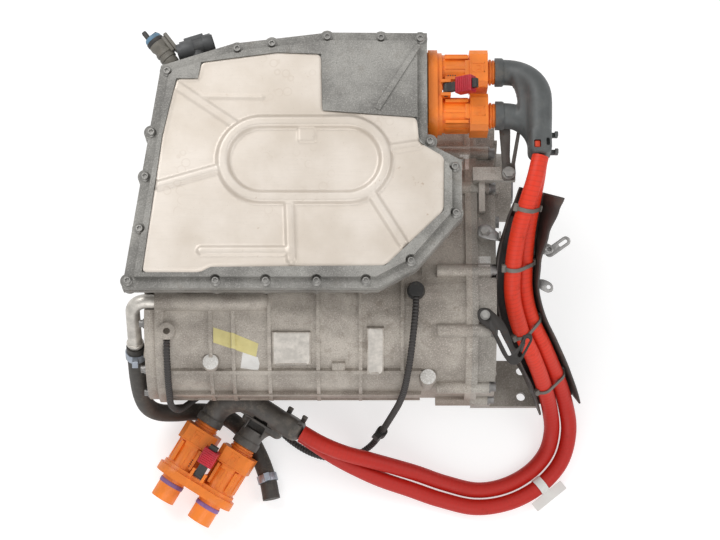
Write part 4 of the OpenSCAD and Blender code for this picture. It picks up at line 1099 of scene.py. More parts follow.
@dataclass
class Castings:
    """The CAD solids that show as they are: finishes, and rounded edges where they are cast or moulded."""

    merge: float = 2e-6
    flat: float = 1.0

    def table(self) -> dict[Finish, tuple[tuple[str, ...], float]]:
        """Give each finish its nodes and the rounding of their edges in metres.

        Returns:
            Nodes and rounding by finish.
        """
        return {
            Finish.HOUSING: (("motor_housing", "motor_end_cover"), 0.0022),
            Finish.GEARBOX: (("gearbox_cover",), 0.0022),
            Finish.TRAY: (("inverter_tray",), 0.0016),
            Finish.FRAME: (("inverter_cover",), 0.0016),
            Finish.PLATE: (("cover_plate",), 0.0),
            Finish.BOLT: (("cover_bolts", "tray_bolts", "bracket_bolts"), 0.0006),
            Finish.CASE_BOLT: (("end_cover_bolts", "gearbox_bolts", "oil_plugs"), 0.0007),
            Finish.GEAR: (("rotor_shaft", "motor_pinion", "countershaft", "counter_wheel", "shaft_bearings",
                           "ring_gear", "ring_gear_bolts", "differential_case", "side_gear_right",
                           "side_gear_left", "planet_gear_back", "planet_gear_front", "cross_pin"), 0.0),
            Finish.LAMINATION: (("stator_core", "rotor_core"), 0.0),
            Finish.COPPER: (("stator_windings",), 0.0),
            Finish.RUBBER: (("output_seals", "cover_seal", "harness_grommet"), 0.0008),
            Finish.BOARD: (("control_board",), 0.0),
            Finish.BLACK: (("power_module", "link_capacitor", "upper_plug_lever", "lower_plug_lever",
                            "harness_clip"), 0.0008),
            Finish.GREY: (("lv_connector",), 0.0008),
            Finish.ELBOW: (("coolant_elbow",), 0.001),
            Finish.BLUE: (("elbow_plug",), 0.0008),
            Finish.ORANGE: (("hv_header", "upper_plug_shell", "lower_plug_shell"), 0.0014),
            Finish.CRIMSON: (("upper_plug_lock", "lower_plug_lock"), 0.001),
            Finish.CONDUIT: (("upper_conduit",), 0.0),
            Finish.BOOT: (("lower_boot",), 0.0),
            Finish.BLACK_STEEL: (("conduit_strap", "steel_bracket", "carrier_bracket"), 0.0008),
            Finish.CARRIER: (("cable_carrier",), 0.001),
            Finish.TIE: (("cable_ties",), 0.0004),
            Finish.PURPLE: (("lower_plug_seals",), 0.0006),
            Finish.CLAMP: (("hose_clamps",), 0.0004),
            Finish.PIPE: (("coolant_pipe",), 0.0006),
            Finish.PAPER: (("cable_tag",), 0.0),
        }

    def round_off(self, node: Object, width: float) -> None:
        """Merge a CAD node's loose triangles and round its edges, by modifiers only.

        Args:
            node: the CAD node's object.
            width: rounding in metres.
        """
        weld = node.modifiers.new("merge", "WELD")
        weld.merge_threshold = self.merge
        plain = node.modifiers.new("flat_faces", "DECIMATE")
        plain.decimate_type = "DISSOLVE"
        plain.angle_limit = math.radians(self.flat)
        soften(node, width)

    def build(self) -> None:
        """Dress every CAD node."""
        for finish, (names, width) in self.table().items():
            for name in names:
                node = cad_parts[name]
                node.data.materials.clear()
                node.data.materials.append(finish.material())
                if width:
                    self.round_off(node, width)
                LOG.info("node %s wears %s", name, finish.value.name)


def rounded(outline: Outline, radius: float, steps: int = 5) -> list[Vector]:
    """Round the corners of an outline.

    Args:
        outline: its corners.
        radius: how far a corner's rounding reaches along its sides.
        steps: steps round a corner.

    Returns:
        The rounded outline.
    """
    points = []
    for i, corner in enumerate(outline):
        here = Vector(corner)
        arms = []
        for other in (Vector(outline[i - 1]), Vector(outline[(i + 1) % len(outline)])):
            arms.append(here + (other - here).normalized() * min(radius, 0.45 * (other - here).length))
        for k in range(steps + 1):
            t = k / steps
            points.append((1 - t) ** 2 * arms[0] + 2 * t * (1 - t) * here + t * t * arms[1])
    return points


def stepped(outline: Outline, step: float) -> list[Vector]:
    """Cut the sides of an outline into short steps.

    Args:
        outline: its corners.
        step: length of a step.

    Returns:
        Points along the outline.
    """
    fine = []
    for a, b in zip(outline, [*outline[1:], outline[0]]):
        start, end = Vector(a), Vector(b)
        steps = max(1, round((end - start).length / step))
        fine += [start.lerp(end, k / steps) for k in range(steps)]
    return fine


def ring_of(count: int) -> list[tuple[int, int]]:
    """Give the edges of a ring of points."""
    return [(i, (i + 1) % count) for i in range(count)]


def smooth(share: float) -> float:
    """Ease from 0 to 1."""
    t = min(1.0, max(0.0, share))
    return t * t * (3 - 2 * t)


def bead_height(share: float) -> float:
    """Give a flat-topped round bead's height for a distance of 0 to 1 from its middle."""
    return 1 - smooth((share - BEAD_FLAT) / (1 - BEAD_FLAT))


def to_line(x: float, y: float, line: Sequence[float]) -> float:
    """Give the distance from a point to a line of x0, y0, x1, y1.

    Args:
        x, y: the point.
        line: the line's two ends, then anything.

    Returns:
        The distance.
    """
    x0, y0, x1, y1 = line[:4]
    dx, dy = x1 - x0, y1 - y0
    t = min(1.0, max(0.0, ((x - x0) * dx + (y - y0) * dy) / (dx * dx + dy * dy)))
    return math.hypot(x - x0 - t * dx, y - y0 - t * dy)


@dataclass
class StampedPlate:
    """The pale pressed plate on the inverter, with its racetrack bead; sizes in millimetres."""

    outline: tuple[Pair, ...] = (
        (-447, 89), (-419, 89), (-415, 111), (-317, 124), (-260, 122), (-258, 46), (-136, 37), (-133, 4),
        (-101, -15), (-102, -86), (-177, -158), (-400, -160), (-413, -167), (-487, -167), (-464, 13))
    beads: tuple[tuple[float, float, float, float, float, float], ...] = (
        (-392, -31, -468, -53, 15, 4.42), (-300, -72, -297, -150, 17, 4.16), (-300, -139, -412, -139, 15, 3.9),
        (-192, -68, -155, -128, 17, 4.42), (-176, -5, -136, 1, 15, 3.64), (-452, 84, -368, 26, 16, 1.3),
        (-418, 66, -336, 64, 7, 0.78))
    track: tuple[float, float, float, float] = (-281, -19, 55, 50)
    track_w: float = 21.0
    rise: float = 7.2
    tab: tuple[float, float, float, float] = (3, 36, 13, 14)
    tab_edge: float = 3.0
    tab_rise: float = 2.2
    power: int = 4
    rim_w: float = 4.0
    bead_rim_w: float = 2.5
    crown: float = 0.7
    crown_rates: Pair = (0.021, 0.027)
    sink: float = 0.8
    rim_dip: float = 1.1
    top: float = 229.5
    thick: float = 2.4
    corner: float = 7.0
    grid: float = 1.8

    def inside(self, x: float, y: float) -> bool:
        """Tell whether a point lies in the outline.

        Args:
            x, y: the place in millimetres.

        Returns:
            True inside it.
        """
        found = False
        for (x0, y0), (x1, y1) in zip(self.outline, self.outline[1:] + self.outline[:1]):
            if (y0 > y) != (y1 > y) and x < (x1 - x0) * (y - y0) / (y1 - y0) + x0:
                found = not found
        return found

    def lift(self, x: float, y: float, edge: float) -> float:
        """Give the height above the plate's level.

        Args:
            x, y: the place in millimetres.
            edge: distance to the rim in millimetres.

        Returns:
            The height in millimetres.
        """
        cx, cy, half, r = self.track
        across = math.hypot(max(abs(x - cx) - half, 0), y - cy)
        total = (self.rise * bead_height(abs(across - r) / (self.track_w / 2))) ** self.power
        for line in self.beads:
            total += (line[5] * bead_height(to_line(x, y, line) / (line[4] / 2))) ** self.power
        tab = 1.0
        for away, half in ((x - cx - self.tab[0], self.tab[2]), (y - cy - self.tab[1], self.tab[3])):
            tab *= min(1.0, max(0.0, (half - abs(away)) / self.tab_edge))
        total += (self.tab_rise * smooth(tab)) ** self.power
        beads = total ** (1 / self.power) * min(1.0, edge / self.bead_rim_w)
        crown = self.crown * math.sin(x * self.crown_rates[0] + 1) * math.sin(y * self.crown_rates[1])
        fade = min(1.0, edge / self.rim_w)
        return beads + (crown - self.sink) * fade - self.rim_dip * (1 - fade) ** 2

    def build(self) -> None:
        """Make the plate."""
        rim = stepped(rounded(self.outline, self.corner, 6), self.grid)
        tree = KDTree(len(rim))
        for i, (x, y) in enumerate(rim):
            tree.insert((x, y, 0), i)
        tree.balance()
        places = list(rim)
        xs, ys = [p[0] for p in self.outline], [p[1] for p in self.outline]
        for i in range(int((max(xs) - min(xs)) / self.grid)):
            for j in range(int((max(ys) - min(ys)) / self.grid)):
                x, y = min(xs) + i * self.grid, min(ys) + j * self.grid
                if self.inside(x, y) and tree.find((x, y, 0))[2] > 0.6 * self.grid:
                    places.append(Vector((x, y)))
        flat, _, faces, origin, _, _ = delaunay_2d_cdt(places, ring_of(len(rim)), [], INSIDE_ONLY, CDT_GAP)
        spot = {o: i for i, found in enumerate(origin) for o in found}
        verts = []
        for x, y in flat:
            edge = tree.find((x, y, 0))[2]
            verts.append(Vector((x, y, self.top + self.lift(x, y, edge))) * MM)
        low = len(verts)
        loop = [spot[i] for i in range(len(rim))]
        verts += [Vector((*flat[i], self.top - self.thick)) * MM for i in loop]
        faces = [list(f) for f in faces]
        faces += [[loop[k], low + k, low + j, loop[j]] for k, j in ring_of(len(loop))]
        faces.append([low + k for k in range(len(loop))])
        add(skin("pressed_plate", verts, faces, Finish.PLATE, PLATE_EDGE), "stamped_plate", "cover_plate")


@dataclass
class FlangeScrews:
    """Star-recess flange screws round the cover; sizes in millimetres."""

    seat: float = 222.0
    places: tuple[Pair, ...] = (
        (-460, 101), (-369, 131), (-324, 138), (-252, 147), (-182, 146), (-131, 145), (-119, 7), (-87, -27),
        (-86, -88), (-144, -151), (-202, -177), (-265, -177), (-330, -177), (-394, -177), (-506, -177),
        (-492, -109), (-486, -40), (-479, 19))
    flange_r: float = 6.6
    head_r: float = 4.7
    head_h: float = 6.2
    lobes: int = 6
    lobe_rise: float = 0.16

    def head(self) -> Object:
        """Make one screw head that stands on z = 0.

        Returns:
            The head, outside the scene.
        """
        f, h, top = self.flange_r, self.head_r, self.head_h
        rings = [(0, -4), (3, -4), (3, 0), (f, 0), (f, 0.9), (f - 0.5, 1.5), (h + 0.5, 2.0), (h, 2.6),
                 (h, top - 0.7), (h - 0.7, top), (2.75, top), (2.6, top - 0.4), (2.6, top - 2.6),
                 (0, top - 2.8)]
        recess = range(10, 13)

        def star(number: int, angle: float) -> float:
            """Shape the recess into lobes."""
            return 1 + self.lobe_rise * math.cos(self.lobes * angle) if number in recess else 1.0

        return loose_shape("screw_head", turned(rings, 36, star))

    def build(self) -> None:
        """Set the screws on the cover."""
        places = [(x * MM, y * MM, self.seat * MM) for x, y in self.places]
        add(REPEATS.make("cover_screws", places, self.head(), Finish.BOLT), "zinc_bolts", "cover_bolts")


def rounded_box(low: Sequence[float], high: Sequence[float], cut: float) -> Shape:
    """Give a box with chamfered edges.

    Args:
        low, high: its corners.
        cut: the chamfer.

    Returns:
        Vertices and faces.
    """
    work = bmesh.new()
    bmesh.ops.create_cube(work, size=1)
    for vert in work.verts:
        vert.co = Vector([(a + b) / 2 + s * (b - a) for a, b, s in zip(low, high, vert.co)])
    bmesh.ops.bevel(work, geom=list(work.edges), offset=cut, segments=3, profile=0.5, affect="EDGES")
    bmesh.ops.recalc_face_normals(work, faces=work.faces)
    work.verts.index_update()
    shape = [tuple(v.co) for v in work.verts], [[v.index for v in f.verts] for f in work.faces]
    work.free()
    return shape


class Site(Enum):
    """Frames of the two high-voltage plugs: x leads from the flange to the cables, in millimetres."""

    UPPER = Matrix.Translation((-120, 83, 178))
    LOWER = Matrix.Translation((-440, -404, -98)) @ Matrix.Rotation(math.radians(58), 4, "Z") \
        @ Matrix.Rotation(math.radians(-10), 4, "Y")

    def put(self, verts: Iterable[Sequence[float]]) -> list[Vector]:
        """Take points of the plug's frame to metres in the unit's frame."""
        return [self.value @ Vector(v) * MM for v in verts]


@dataclass
class Hood:
    """A moulded elbow that gathers both cables of a plug; sizes in millimetres, in the plug's frame."""

    name: str
    node: str
    slot: str
    site: Site
    finish: Finish
    open_side: bool = False
    pitch: float = 59.0
    radius: float = 17.0
    inlet: float = 88.0
    bend: float = 101.0
    leave: float = 145.0
    end: float = -89.0
    lift: float = 24.0
    sleeve: float = 15.0
    taper: float = 2.5
    bend_steps: int = 12
    web_lines: int = 8
    voxel: float = 1.5

    def line(self, side: float) -> list[Vector]:
        """Give a middle line between the near tube (-1) and the far one (+1).

        Args:
            side: -1 to 1.

        Returns:
            Places in the plug's frame.
        """
        reach, y, lift = self.leave - self.bend, side * self.pitch / 2, self.lift * ((side + 1) / 2) ** 0.5
        points = [Vector((self.inlet, y, 0)), Vector((self.inlet + 7, y, 0))] if abs(side) == 1 else []
        start = 0.0 if points else 0.12 + 0.3 * (1 - side * side) ** 0.5
        for k in range(self.bend_steps + 1):
            t = start + (1 - start) * k / self.bend_steps
            angle = math.pi / 2 * t
            points.append(Vector((self.bend + reach * math.sin(angle), y - reach * (1 - math.cos(angle)),
                                  lift * smooth(t))))
        return points + [Vector((self.leave, self.end + 3, lift))]

    def solids(self) -> list[Object]:
        """Give the closed lumps that the hood grows together from.

        Returns:
            The lumps, in the plug's frame.
        """
        lumps = []
        web = [1 - k / self.web_lines for k in range(2 * self.web_lines + 1)]
        for side in (1, -1) if self.open_side else web:
            path = [p * MM for p in self.line(side)]
            total = route_length(path)
            lumps.append(tube("lump", path, lambda s: (self.radius - self.taper * (s / total) ** 2) * MM, 36,
                              self.finish))
        half = self.sleeve
        boxes = [((self.leave - half, self.end, -half),
                  (self.leave + half, self.end + 38, self.lift + half), 8.5)]
        if self.open_side:
            boxes += [((self.bend + 16, -50, -12), (self.leave - 3, -6, 6), 4),
                      ((self.leave - 26, self.end + 22, -12), (self.leave + 5, -16, 18), 6)]
        for number, (a, b, cut) in enumerate(boxes):
            lumps.append(self.block(f"lump_{number}", a, b, cut))
        return lumps

    def block(self, name: str, low: Point, high: Point, cut: float) -> Object:
        """Make a rounded block in the plug's frame."""
        return solid(name, rounded_box(low, high, cut), self.finish)

    def hollows(self) -> list[tuple[Point, Point]]:
        """Give the pockets: moulding recesses of the open side, or the sleeve's windows.

        Returns:
            Lowest and highest corners.
        """
        top, far = 70, self.leave
        if self.open_side:
            return [((self.bend + 13, -44, 1), (self.bend + 24, -18, top)),
                    ((self.bend + 27, -44, 1), (far - 12, -22, top)),
                    ((far - 17, self.end + 44, 8), (far - 11, -36, top)),
                    ((far + 9, self.end + 3, 34), (far + 14, self.end + 9, top))]
        return [((far - 9, self.end + 7, 33), (far, self.end + 17.5, top)),
                ((far + 7, self.end + 10, 30), (far + 11.5, self.end + 20, top))]

    def body(self) -> Object:
        """Grow the lumps together into one smooth shell.

        Returns:
            The shell, in the plug's frame.
        """
        whole = joined(self.name, self.solids(), self.finish)
        remesh = whole.modifiers.new("grow", "REMESH")
        remesh.mode = "VOXEL"
        remesh.voxel_size = self.voxel * MM
        even = whole.modifiers.new("smooth", "SMOOTH")
        even.factor, even.iterations = 0.5, 6
        cutters = [self.block("pocket", a, b, 1.8) for a, b in self.hollows()]
        cut_away(whole, cutters)
        return baked(whole, self.finish, HOOD_EDGE, cutters)

    def trims(self) -> list[Object]:
        """Give the collars, hooks and seam ridges.

        Returns:
            The pieces, in the plug's frame.
        """
        made = []
        for side in (1, -1):
            rings = [(self.radius - 1, 0), (self.radius + 2, 0), (self.radius + 2, 9), (self.radius + 1, 11),
                     (self.radius - 1, 11), (self.radius - 1, 0)]
            place = Matrix.Translation((self.inlet, side * self.pitch / 2, 0)) @ ALONG_X
            made.append(solid("collar", turned(rings, 40), self.finish, place))
        edge, mid = self.leave + self.sleeve, self.lift / 2
        for y in (self.end + 3, self.end + 26):
            for a, b in (((edge - 3, y, mid - 2), (edge + 8.6, y + 7, mid + 3)),
                         ((edge + 4, y, mid - 2), (edge + 8.8, y + 7, mid + 10))):
                made.append(self.block("hook", a, b, 1.1))
        if self.open_side:
            made += [self.block("ridge", (self.bend + 25, -52, 0), (self.bend + 27.6, -2, 19), 0.8),
                     self.block("ridge", (self.bend + 10, -19, 0), (self.bend + 27, -16.6, 15), 0.8),
                     self.block("ridge", (self.bend + 8, -46, 0), (self.bend + 27, -43.6, 15), 0.8)]
        return made

    def build(self) -> None:
        """Make the hood."""
        made = joined(self.name + "_hood", [self.body(), *self.trims()], self.finish)
        made.data.transform(Matrix.Scale(MM, 4) @ self.site.value @ Matrix.Scale(1 / MM, 4))
        made.data.set_sharp_from_angle(angle=math.radians(SEAM_EDGE))
        add(made, self.slot, self.node)
        if not self.open_side:
            pad = rounded_box((self.leave - 8.6, self.end + 7.4, 31),
                              (self.leave - 0.4, self.end + 17.1, 36), 1.5)
            add(solid(self.name + "_window_cable", pad, Finish.ORANGE_RED, self.site.value), "cable_jacket")


@dataclass
class PlugTrim:
    """Grooves, panels and vents on one plug's shell; sizes in millimetres, in the plug's frame."""

    name: str
    site: Site
    pitch: float = 59.0
    body: tuple[float, float, float] = (19.0, 53.0, 23.0)
    collar: tuple[float, float, float] = (54.0, 78.0, 25.0)
    neck: Pair = (80.0, 15.0)

    def mesh(self, name: str, shapes: Sequence[Shape], finish: Finish) -> Object:
        """Make one piece from several shapes of the plug's frame.

        Args:
            name: the piece's name.
            shapes: vertices and faces of each.
            finish: its finish.

        Returns:
            The piece.
        """
        verts: list[Vector] = []
        faces: list[list[int]] = []
        for points, loops in shapes:
            faces += [[len(verts) + i for i in loop] for loop in loops]
            verts += self.site.put(points)
        return skin(name, verts, faces, finish)

    def along(self, y: float, angle: float, radius: float, x0: float, x1: float, wide: float,
              high: float) -> Shape:
        """Give a rounded rib along a body.

        Args:
            y: the body's axis.
            angle: where it sits, in degrees from the top.
            radius: the body's radius.
            x0, x1: its ends.
            wide, high: its section above the body.

        Returns:
            Vertices and faces.
        """
        verts, faces = rounded_box((x0, -wide / 2, radius - 1.2), (x1, wide / 2, radius + high), 0.35)
        turn = Matrix.Translation((0, y, 0)) @ Matrix.Rotation(math.radians(angle), 4, "X")
        return [tuple(turn @ Vector(v)) for v in verts], faces

    def frames(self, y: float) -> list[Shape]:
        """Give the raised square and bars on a collar's top.

        Args:
            y: the collar's axis.

        Returns:
            Vertices and faces of each.
        """
        x0, x1, half = self.collar
        top, mid = half - 0.4, (x0 + x1) / 2
        bars = [(x0 + 4, -6.5, x1 - 4, -5), (x0 + 4, 5, x1 - 4, 6.5), (x1 - 5.5, -6.5, x1 - 4, 6.5),
                (mid - 3, -3.2, mid + 2, -2.2), (mid - 3, 2.2, mid + 2, 3.2), (mid + 2, -3.2, mid + 3, 3.2),
                (x0 + 0.5, -17, x0 + 2, 17)]
        return [rounded_box((a, y + b, top - 1), (c, y + d, top + 1.0), 0.3) for a, b, c, d in bars]

    def rings(self, y: float) -> list[Shape]:
        """Give the stepped rings of a neck.

        Args:
            y: the neck's axis.

        Returns:
            Vertices and faces of each.
        """
        x, r = self.neck
        made = []
        for shift, grow in ((0.0, 2.2), (4.2, 1.2)):
            section = [(r - 1, 0), (r + grow - 0.5, 0), (r + grow, 0.5), (r + grow, 2.4),
                       (r + grow - 0.5, 2.9), (r - 1, 2.9), (r - 1, 0)]
            verts, faces = turned(section, 40)
            made.append(([(x + shift + c, y + b, a) for a, b, c in verts], faces))
        return made

    def build(self) -> None:
        """Make the trims and the dark vents."""
        shapes = []
        x0, x1, r = self.body
        for side in (1, -1):
            y = side * self.pitch / 2
            for angle in (-100, -66, 66, 100, 140, -140):
                shapes.append(self.along(y, angle, r, x0 + 3, x1 - 1, 3.6, 0.8))
            shapes.append(self.along(y, 0, r, x1 - 5, x1 + 2, 20, 1.2))
            shapes += self.frames(y) + self.rings(y)
        made = self.mesh(self.name + "_trim", shapes, Finish.ORANGE)
        add(made, "orange_plastic")
        slot = loose_shape(self.name + "_slot", rounded_box((-0.75, -3.4, -0.9), (0.75, 3.4, 0.9), 0.4))
        places = self.site.put([(x0 + 7 + 3.1 * k, self.pitch / 2 - 12.2, 20.1) for k in range(4)])
        vents = REPEATS.make(self.name + "_vents", places, slot, Finish.BLACK, self.site.value.to_euler(), 0.0)
        add(vents, "black_plastic")


def ringed(name: str, rings: Sequence[Sequence[Any]], finish: Finish, loop: bool = False) -> Object:
    """Join rings of equal length, given in millimetres, into a closed skin.

    Args:
        name: the piece's name.
        rings: loops of places.
        finish: its finish.
        loop: whether the last ring meets the first one.

    Returns:
        The object.
    """
    count = len(rings[0])
    verts = [Vector(p) * MM for ring in rings for p in ring]
    faces = []
    for i in range(len(rings) if loop else len(rings) - 1):
        a, b = i * count, (i + 1) % len(rings) * count
        faces += [[a + k, a + (k + 1) % count, b + (k + 1) % count, b + k] for k in range(count)]
    if not loop:
        faces += [list(range(count)), list(range(len(verts) - count, len(verts)))]
    return skin(name, verts, faces, finish, RING_EDGE)


def capsule(start: Sequence[float], end: Sequence[float], radius: float) -> list[Pair]:
    """Give the outline of a slot from one centre to another.

    Args:
        start, end: the centres.
        radius: half its width.

    Returns:
        Points round it.
    """
    turn = math.atan2(end[1] - start[1], end[0] - start[0])
    points = []
    for centre, first in ((end, turn - math.pi / 2), (start, turn + math.pi / 2)):
        for k in range(13):
            angle = first + math.pi * k / 12
            points.append((centre[0] + radius * math.cos(angle), centre[1] + radius * math.sin(angle)))
    return points


def round_hole(x: float, y: float, radius: float) -> list[Pair]:
    """Give the outline of a round hole."""
    return capsule((x - HOLE_GAP, y), (x + HOLE_GAP, y), radius)


def plate(name: str, outline: Outline, low: float, high: float,
          holes: Sequence[Outline], finish: Finish, edge: float = 0.7) -> Object:
    """Make a flat plate with holes; sizes in millimetres.

    Args:
        name: the piece's name.
        outline: its outline in x and y.
        low, high: its faces.
        holes: outlines cut through it.
        finish: its finish.
        edge: rounding of its edges.

    Returns:
        The plate.
    """
    made = ringed(name, [[(*p, z) for p in outline] for z in (low, high)], finish)
    cutters = [ringed("hole", [[(*p, z) for p in hole] for z in (low - 5, high + 5)], finish) for hole in holes]
    cut_away(made, cutters)
    soften(made, edge * MM)
    return baked(made, finish, cutters=cutters)


@dataclass
class CableCarrier:
    """The dark channel under the pair, its grey lugs and the ties; sizes in millimetres."""

    lead: HighVoltageLead
    wall: float = 2.6
    room: float = 2.6
    spots: tuple[float, ...] = (1.45, 2, 3, 4, 5, 6, 7, 8, 9.1)
    lean: tuple[float, ...] = (25, 21, 13, 5, 2, 2, 2, 3, 4)
    right: tuple[float, ...] = (-6, -2, 2, 5, 6, 6, 6, 6, 6)
    left: tuple[float, ...] = (-20, -19, -12, 4, 6, 6, 6, 6, 6)
    shelf: tuple[float, ...] = (0, 0, 2, 5, 6, 6, 4, 1, 0)
    steps: int = 64
    ties: tuple[float, ...] = (2.15, 4.1, 6.1, 8.05)
    tie_gap: float = 0.5
    tie_thick: float = 1.4
    tie_half: float = 2.6

    def station(self, spot: float) -> tuple[Vector, Vector, Vector, Vector, float]:
        """Give the place, sideways, upward and forward directions and the roll at a route number.

        Args:
            spot: number of a route point, with a fraction.

        Returns:
            Place in millimetres, three directions, and the roll in radians.
        """
        knots, i = [Vector(p) for p in self.lead.route], min(int(spot), len(self.lead.route) - 3)
        a, b, c, d = knots[max(i - 1, 0)], knots[i], knots[i + 1], knots[i + 2]
        t = spot - i
        place = spline(a, b, c, d, t)
        ahead = ((c - a) * (1 - t) + (d - b) * t).normalized()
        side, up = frame_of(ahead)
        return place, side, up, ahead, math.radians(self.lead.roll[i] * (1 - t) + self.lead.roll[i + 1] * t)

    def blend(self, values: Sequence[float], spot: float) -> float:
        """Read a list of values given at the spots.

        Args:
            values: one for each spot.
            spot: a route number.

        Returns:
            The value there.
        """
        for k in range(len(self.spots) - 1):
            if spot <= self.spots[k + 1]:
                break
        t = smooth((spot - self.spots[k]) / (self.spots[k + 1] - self.spots[k]))
        return values[k] * (1 - t) + values[k + 1] * t

    def outline(self, spot: float) -> list[Vector]:
        """Give the channel's section at a route number.

        Args:
            spot: number of a route point, with a fraction.

        Returns:
            Its corners in millimetres.
        """
        place, side, up, _, roll = self.station(spot)
        gap, r, t = self.lead.spacing / MM, self.lead.diameter / MM / 2 + self.room, self.wall
        w, low = gap * math.cos(roll) + r, gap * math.sin(roll) + r
        shelf, flap = w + self.blend(self.shelf, spot), w + self.blend(self.lean, spot)
        right, left = self.blend(self.right, spot), self.blend(self.left, spot)
        flat = [(-w - t, -low - t), (shelf + t, -low - t), (shelf + t, left), (shelf, left), (shelf, -low),
                (-w, -low), (-flap, right), (-flap - t, right)]
        return [place + x * side + y * up for x, y in flat]

    def loop(self, spot: float) -> Object:
        """Make one tie round both cables, with its head on the left.

        Args:
            spot: number of a route point, with a fraction.

        Returns:
            The tie.
        """
        place, side, up, ahead, roll = self.station(spot)
        rings = []
        gap, r = self.lead.spacing / MM, self.lead.diameter / MM / 2
        axis = (gap * math.cos(roll), gap * math.sin(roll))
        for radius in (r + self.tie_gap, r + self.tie_gap + self.tie_thick):
            flat = capsule((-axis[0], -axis[1]), axis, radius)
            rings.append([place + x * side + y * up for x, y in flat])
        wide = self.tie_half * ahead
        band = [[inner - wide, outer - wide, outer + wide, inner + wide] for inner, outer in zip(*rings)]
        parts = [ringed("band", band, Finish.TIE, True)]
        x, y = axis[0] + r + 1.2, axis[1] + 3.5
        for sign, size in ((1, (3.2, 3.6, 5.0)), (-1, (2.4, 2.8, 4.0))):
            verts, faces = rounded_box([-s for s in size], size, 0.9)
            spots = [place + (sign * x + v[0]) * side + (sign * y + v[1]) * up + v[2] * ahead for v in verts]
            parts.append(solid("head", (spots, faces), Finish.TIE))
        return joined("tie", parts, Finish.TIE)

    def lugs(self) -> None:
        """Make the grey lugs on the channel's outer wall and the slotted arm."""
        upper = rounded(((27, -124), (27, -109), (36, -109), (44, -113), (46, -120), (40, -125)), 6)
        lower = rounded(((25, -152), (34, -152), (45, -158), (46, -168), (38, -171), (25, -163)), 6)
        arm = capsule((40, -121), (61, -106), 6.4)
        pieces = []
        for outline, low, high, hole in ((upper, 139, 141.5, round_hole(38.65, -117, 2.4)),
                                         (lower, 112, 114.5, round_hole(39.55, -162.5, 2.8)),
                                         (arm, 136.2, 139.3, capsule((54, -111), (61, -106), 2.4))):
            pieces.append(plate("lug", outline, low, high, [hole], Finish.SHEET_STEEL))
        add(joined("carrier_lugs", pieces, Finish.SHEET_STEEL), "sheet_steel")

    def build(self) -> None:
        """Make the channel, its lugs and the ties."""
        first, last = self.spots[0], self.spots[-1]
        spots = [first + (last - first) * k / self.steps for k in range(self.steps + 1)]
        made = ringed("channel", [self.outline(s) for s in spots], Finish.CARRIER)
        soften(made, 0.6 * MM, 1)
        add(baked(made, Finish.CARRIER), "carrier_plastic", "cable_carrier")
        add(joined("tie_loops", [self.loop(s) for s in self.ties], Finish.TIE), "black_plastic", "cable_ties")
        self.lugs()


@dataclass
class Brackets:
    """Black stamped brackets on the gear case's posts and under the upper hood; sizes in millimetres."""

    seat: float = 140.0
    thick: float = 3.0
    strap_top: float = 160.6
    posts: tuple[Pair, ...] = ((-46, -94), (-46, -206))
    strap_bolt: Pair = (-13, -15)

    def vee(self) -> Object:
        """Make the bent bracket with its eye, two arms and a leg to the channel.

        Returns:
            The bracket.
        """
        x, y = self.posts[1]
        outline = [(-10, 6), (-6, 10), (4, 10), (10, 5), (22, -6), (29, -18), (38, -44), (42, -44), (53, -24),
                   (60, -24), (62, -32), (47, -60), (40, -66), (31, -65), (22, -52), (12, -30), (6, -18),
                   (-6, -10), (-10, -4)]
        shape = rounded([(x + a, y + b) for a, b in outline], 5)
        holes = [round_hole(x, y, 3.4), capsule((x + 17, y - 22), (x + 31, y - 51), 2.6),
                 capsule((x + 44, y - 53), (x + 55, y - 33), 2.6)]
        flat = plate("vee", shape, self.seat, self.seat + self.thick, holes, Finish.BLACK_STEEL)
        leg = solid("leg", rounded_box((x + 49, y - 38, self.seat - 58), (x + 52, y - 26, self.seat + 2), 0.7),
                    Finish.BLACK_STEEL)
        return joined("vee_bracket", [flat, leg], Finish.BLACK_STEEL)

    def eye(self) -> Object:
        """Make the eye plate that holds the channel's upper end.

        Returns:
            The plate.
        """
        x, y = self.posts[0]
        outline = [(-9, -6), (-9, 6), (-4, 10), (6, 10), (21, -4), (21, -13), (6, -11)]
        flat = plate("eye", rounded([(x + a, y + b) for a, b in outline], 5), self.seat, self.seat + self.thick,
                     [round_hole(x, y, 3.4)], Finish.SHEET_STEEL)
        tab = solid("tab", rounded_box((x + 18, y - 13, self.seat + 1), (x + 21, y - 4, self.seat + 22), 0.7),
                    Finish.SHEET_STEEL)
        return joined("eye_plate", [flat, tab], Finish.SHEET_STEEL)

    def strap(self) -> Object:
        """Make the forked strap from the lug's bolt up to the hood.

        Returns:
            The strap.
        """
        x, y = self.strap_bolt
        low, high = self.seat + self.thick, self.strap_top
        line = [(-10, low, -6, 6), (-7, low, -8.6, 8.6), (0, low, -9.4, 9.4), (7, low, -9, 9),
                (12, low + 1.5, -8.6, 8.6), (44, high - 1.5, -12, 14), (50, high, -12.5, 15),
                (80, high, -15, 19)]
        rings = []
        for along, z, left, right in line:
            section = ((left, z - self.thick), (right, z - self.thick), (right, z), (left, z))
            rings.append([(x + across, y + along, level) for across, level in section])
        made = ringed("forked_strap", rings, Finish.DARK_STEEL)
        slot = ringed("slot", [[(x + a, y + b, z) for a, b in ((1.5, 14), (3.5, 13), (13, 66), (2, 66))]
                               for z in (low - 20, high + 20)], Finish.BLACK_STEEL)
        hole = ringed("hole", [[(*p, z) for p in round_hole(x, y, 4.5)] for z in (low - 9, low + 9)],
                      Finish.BLACK_STEEL)
        cut_away(made, (slot, hole))
        soften(made, 0.7 * MM)
        return baked(made, Finish.DARK_STEEL, cutters=(slot, hole))

    def build(self) -> None:
        """Make the three brackets."""
        add(self.vee(), "black_steel", "steel_bracket")
        add(self.eye(), "sheet_steel", "carrier_bracket")
        add(self.strap(), "sheet_steel", "conduit_strap")


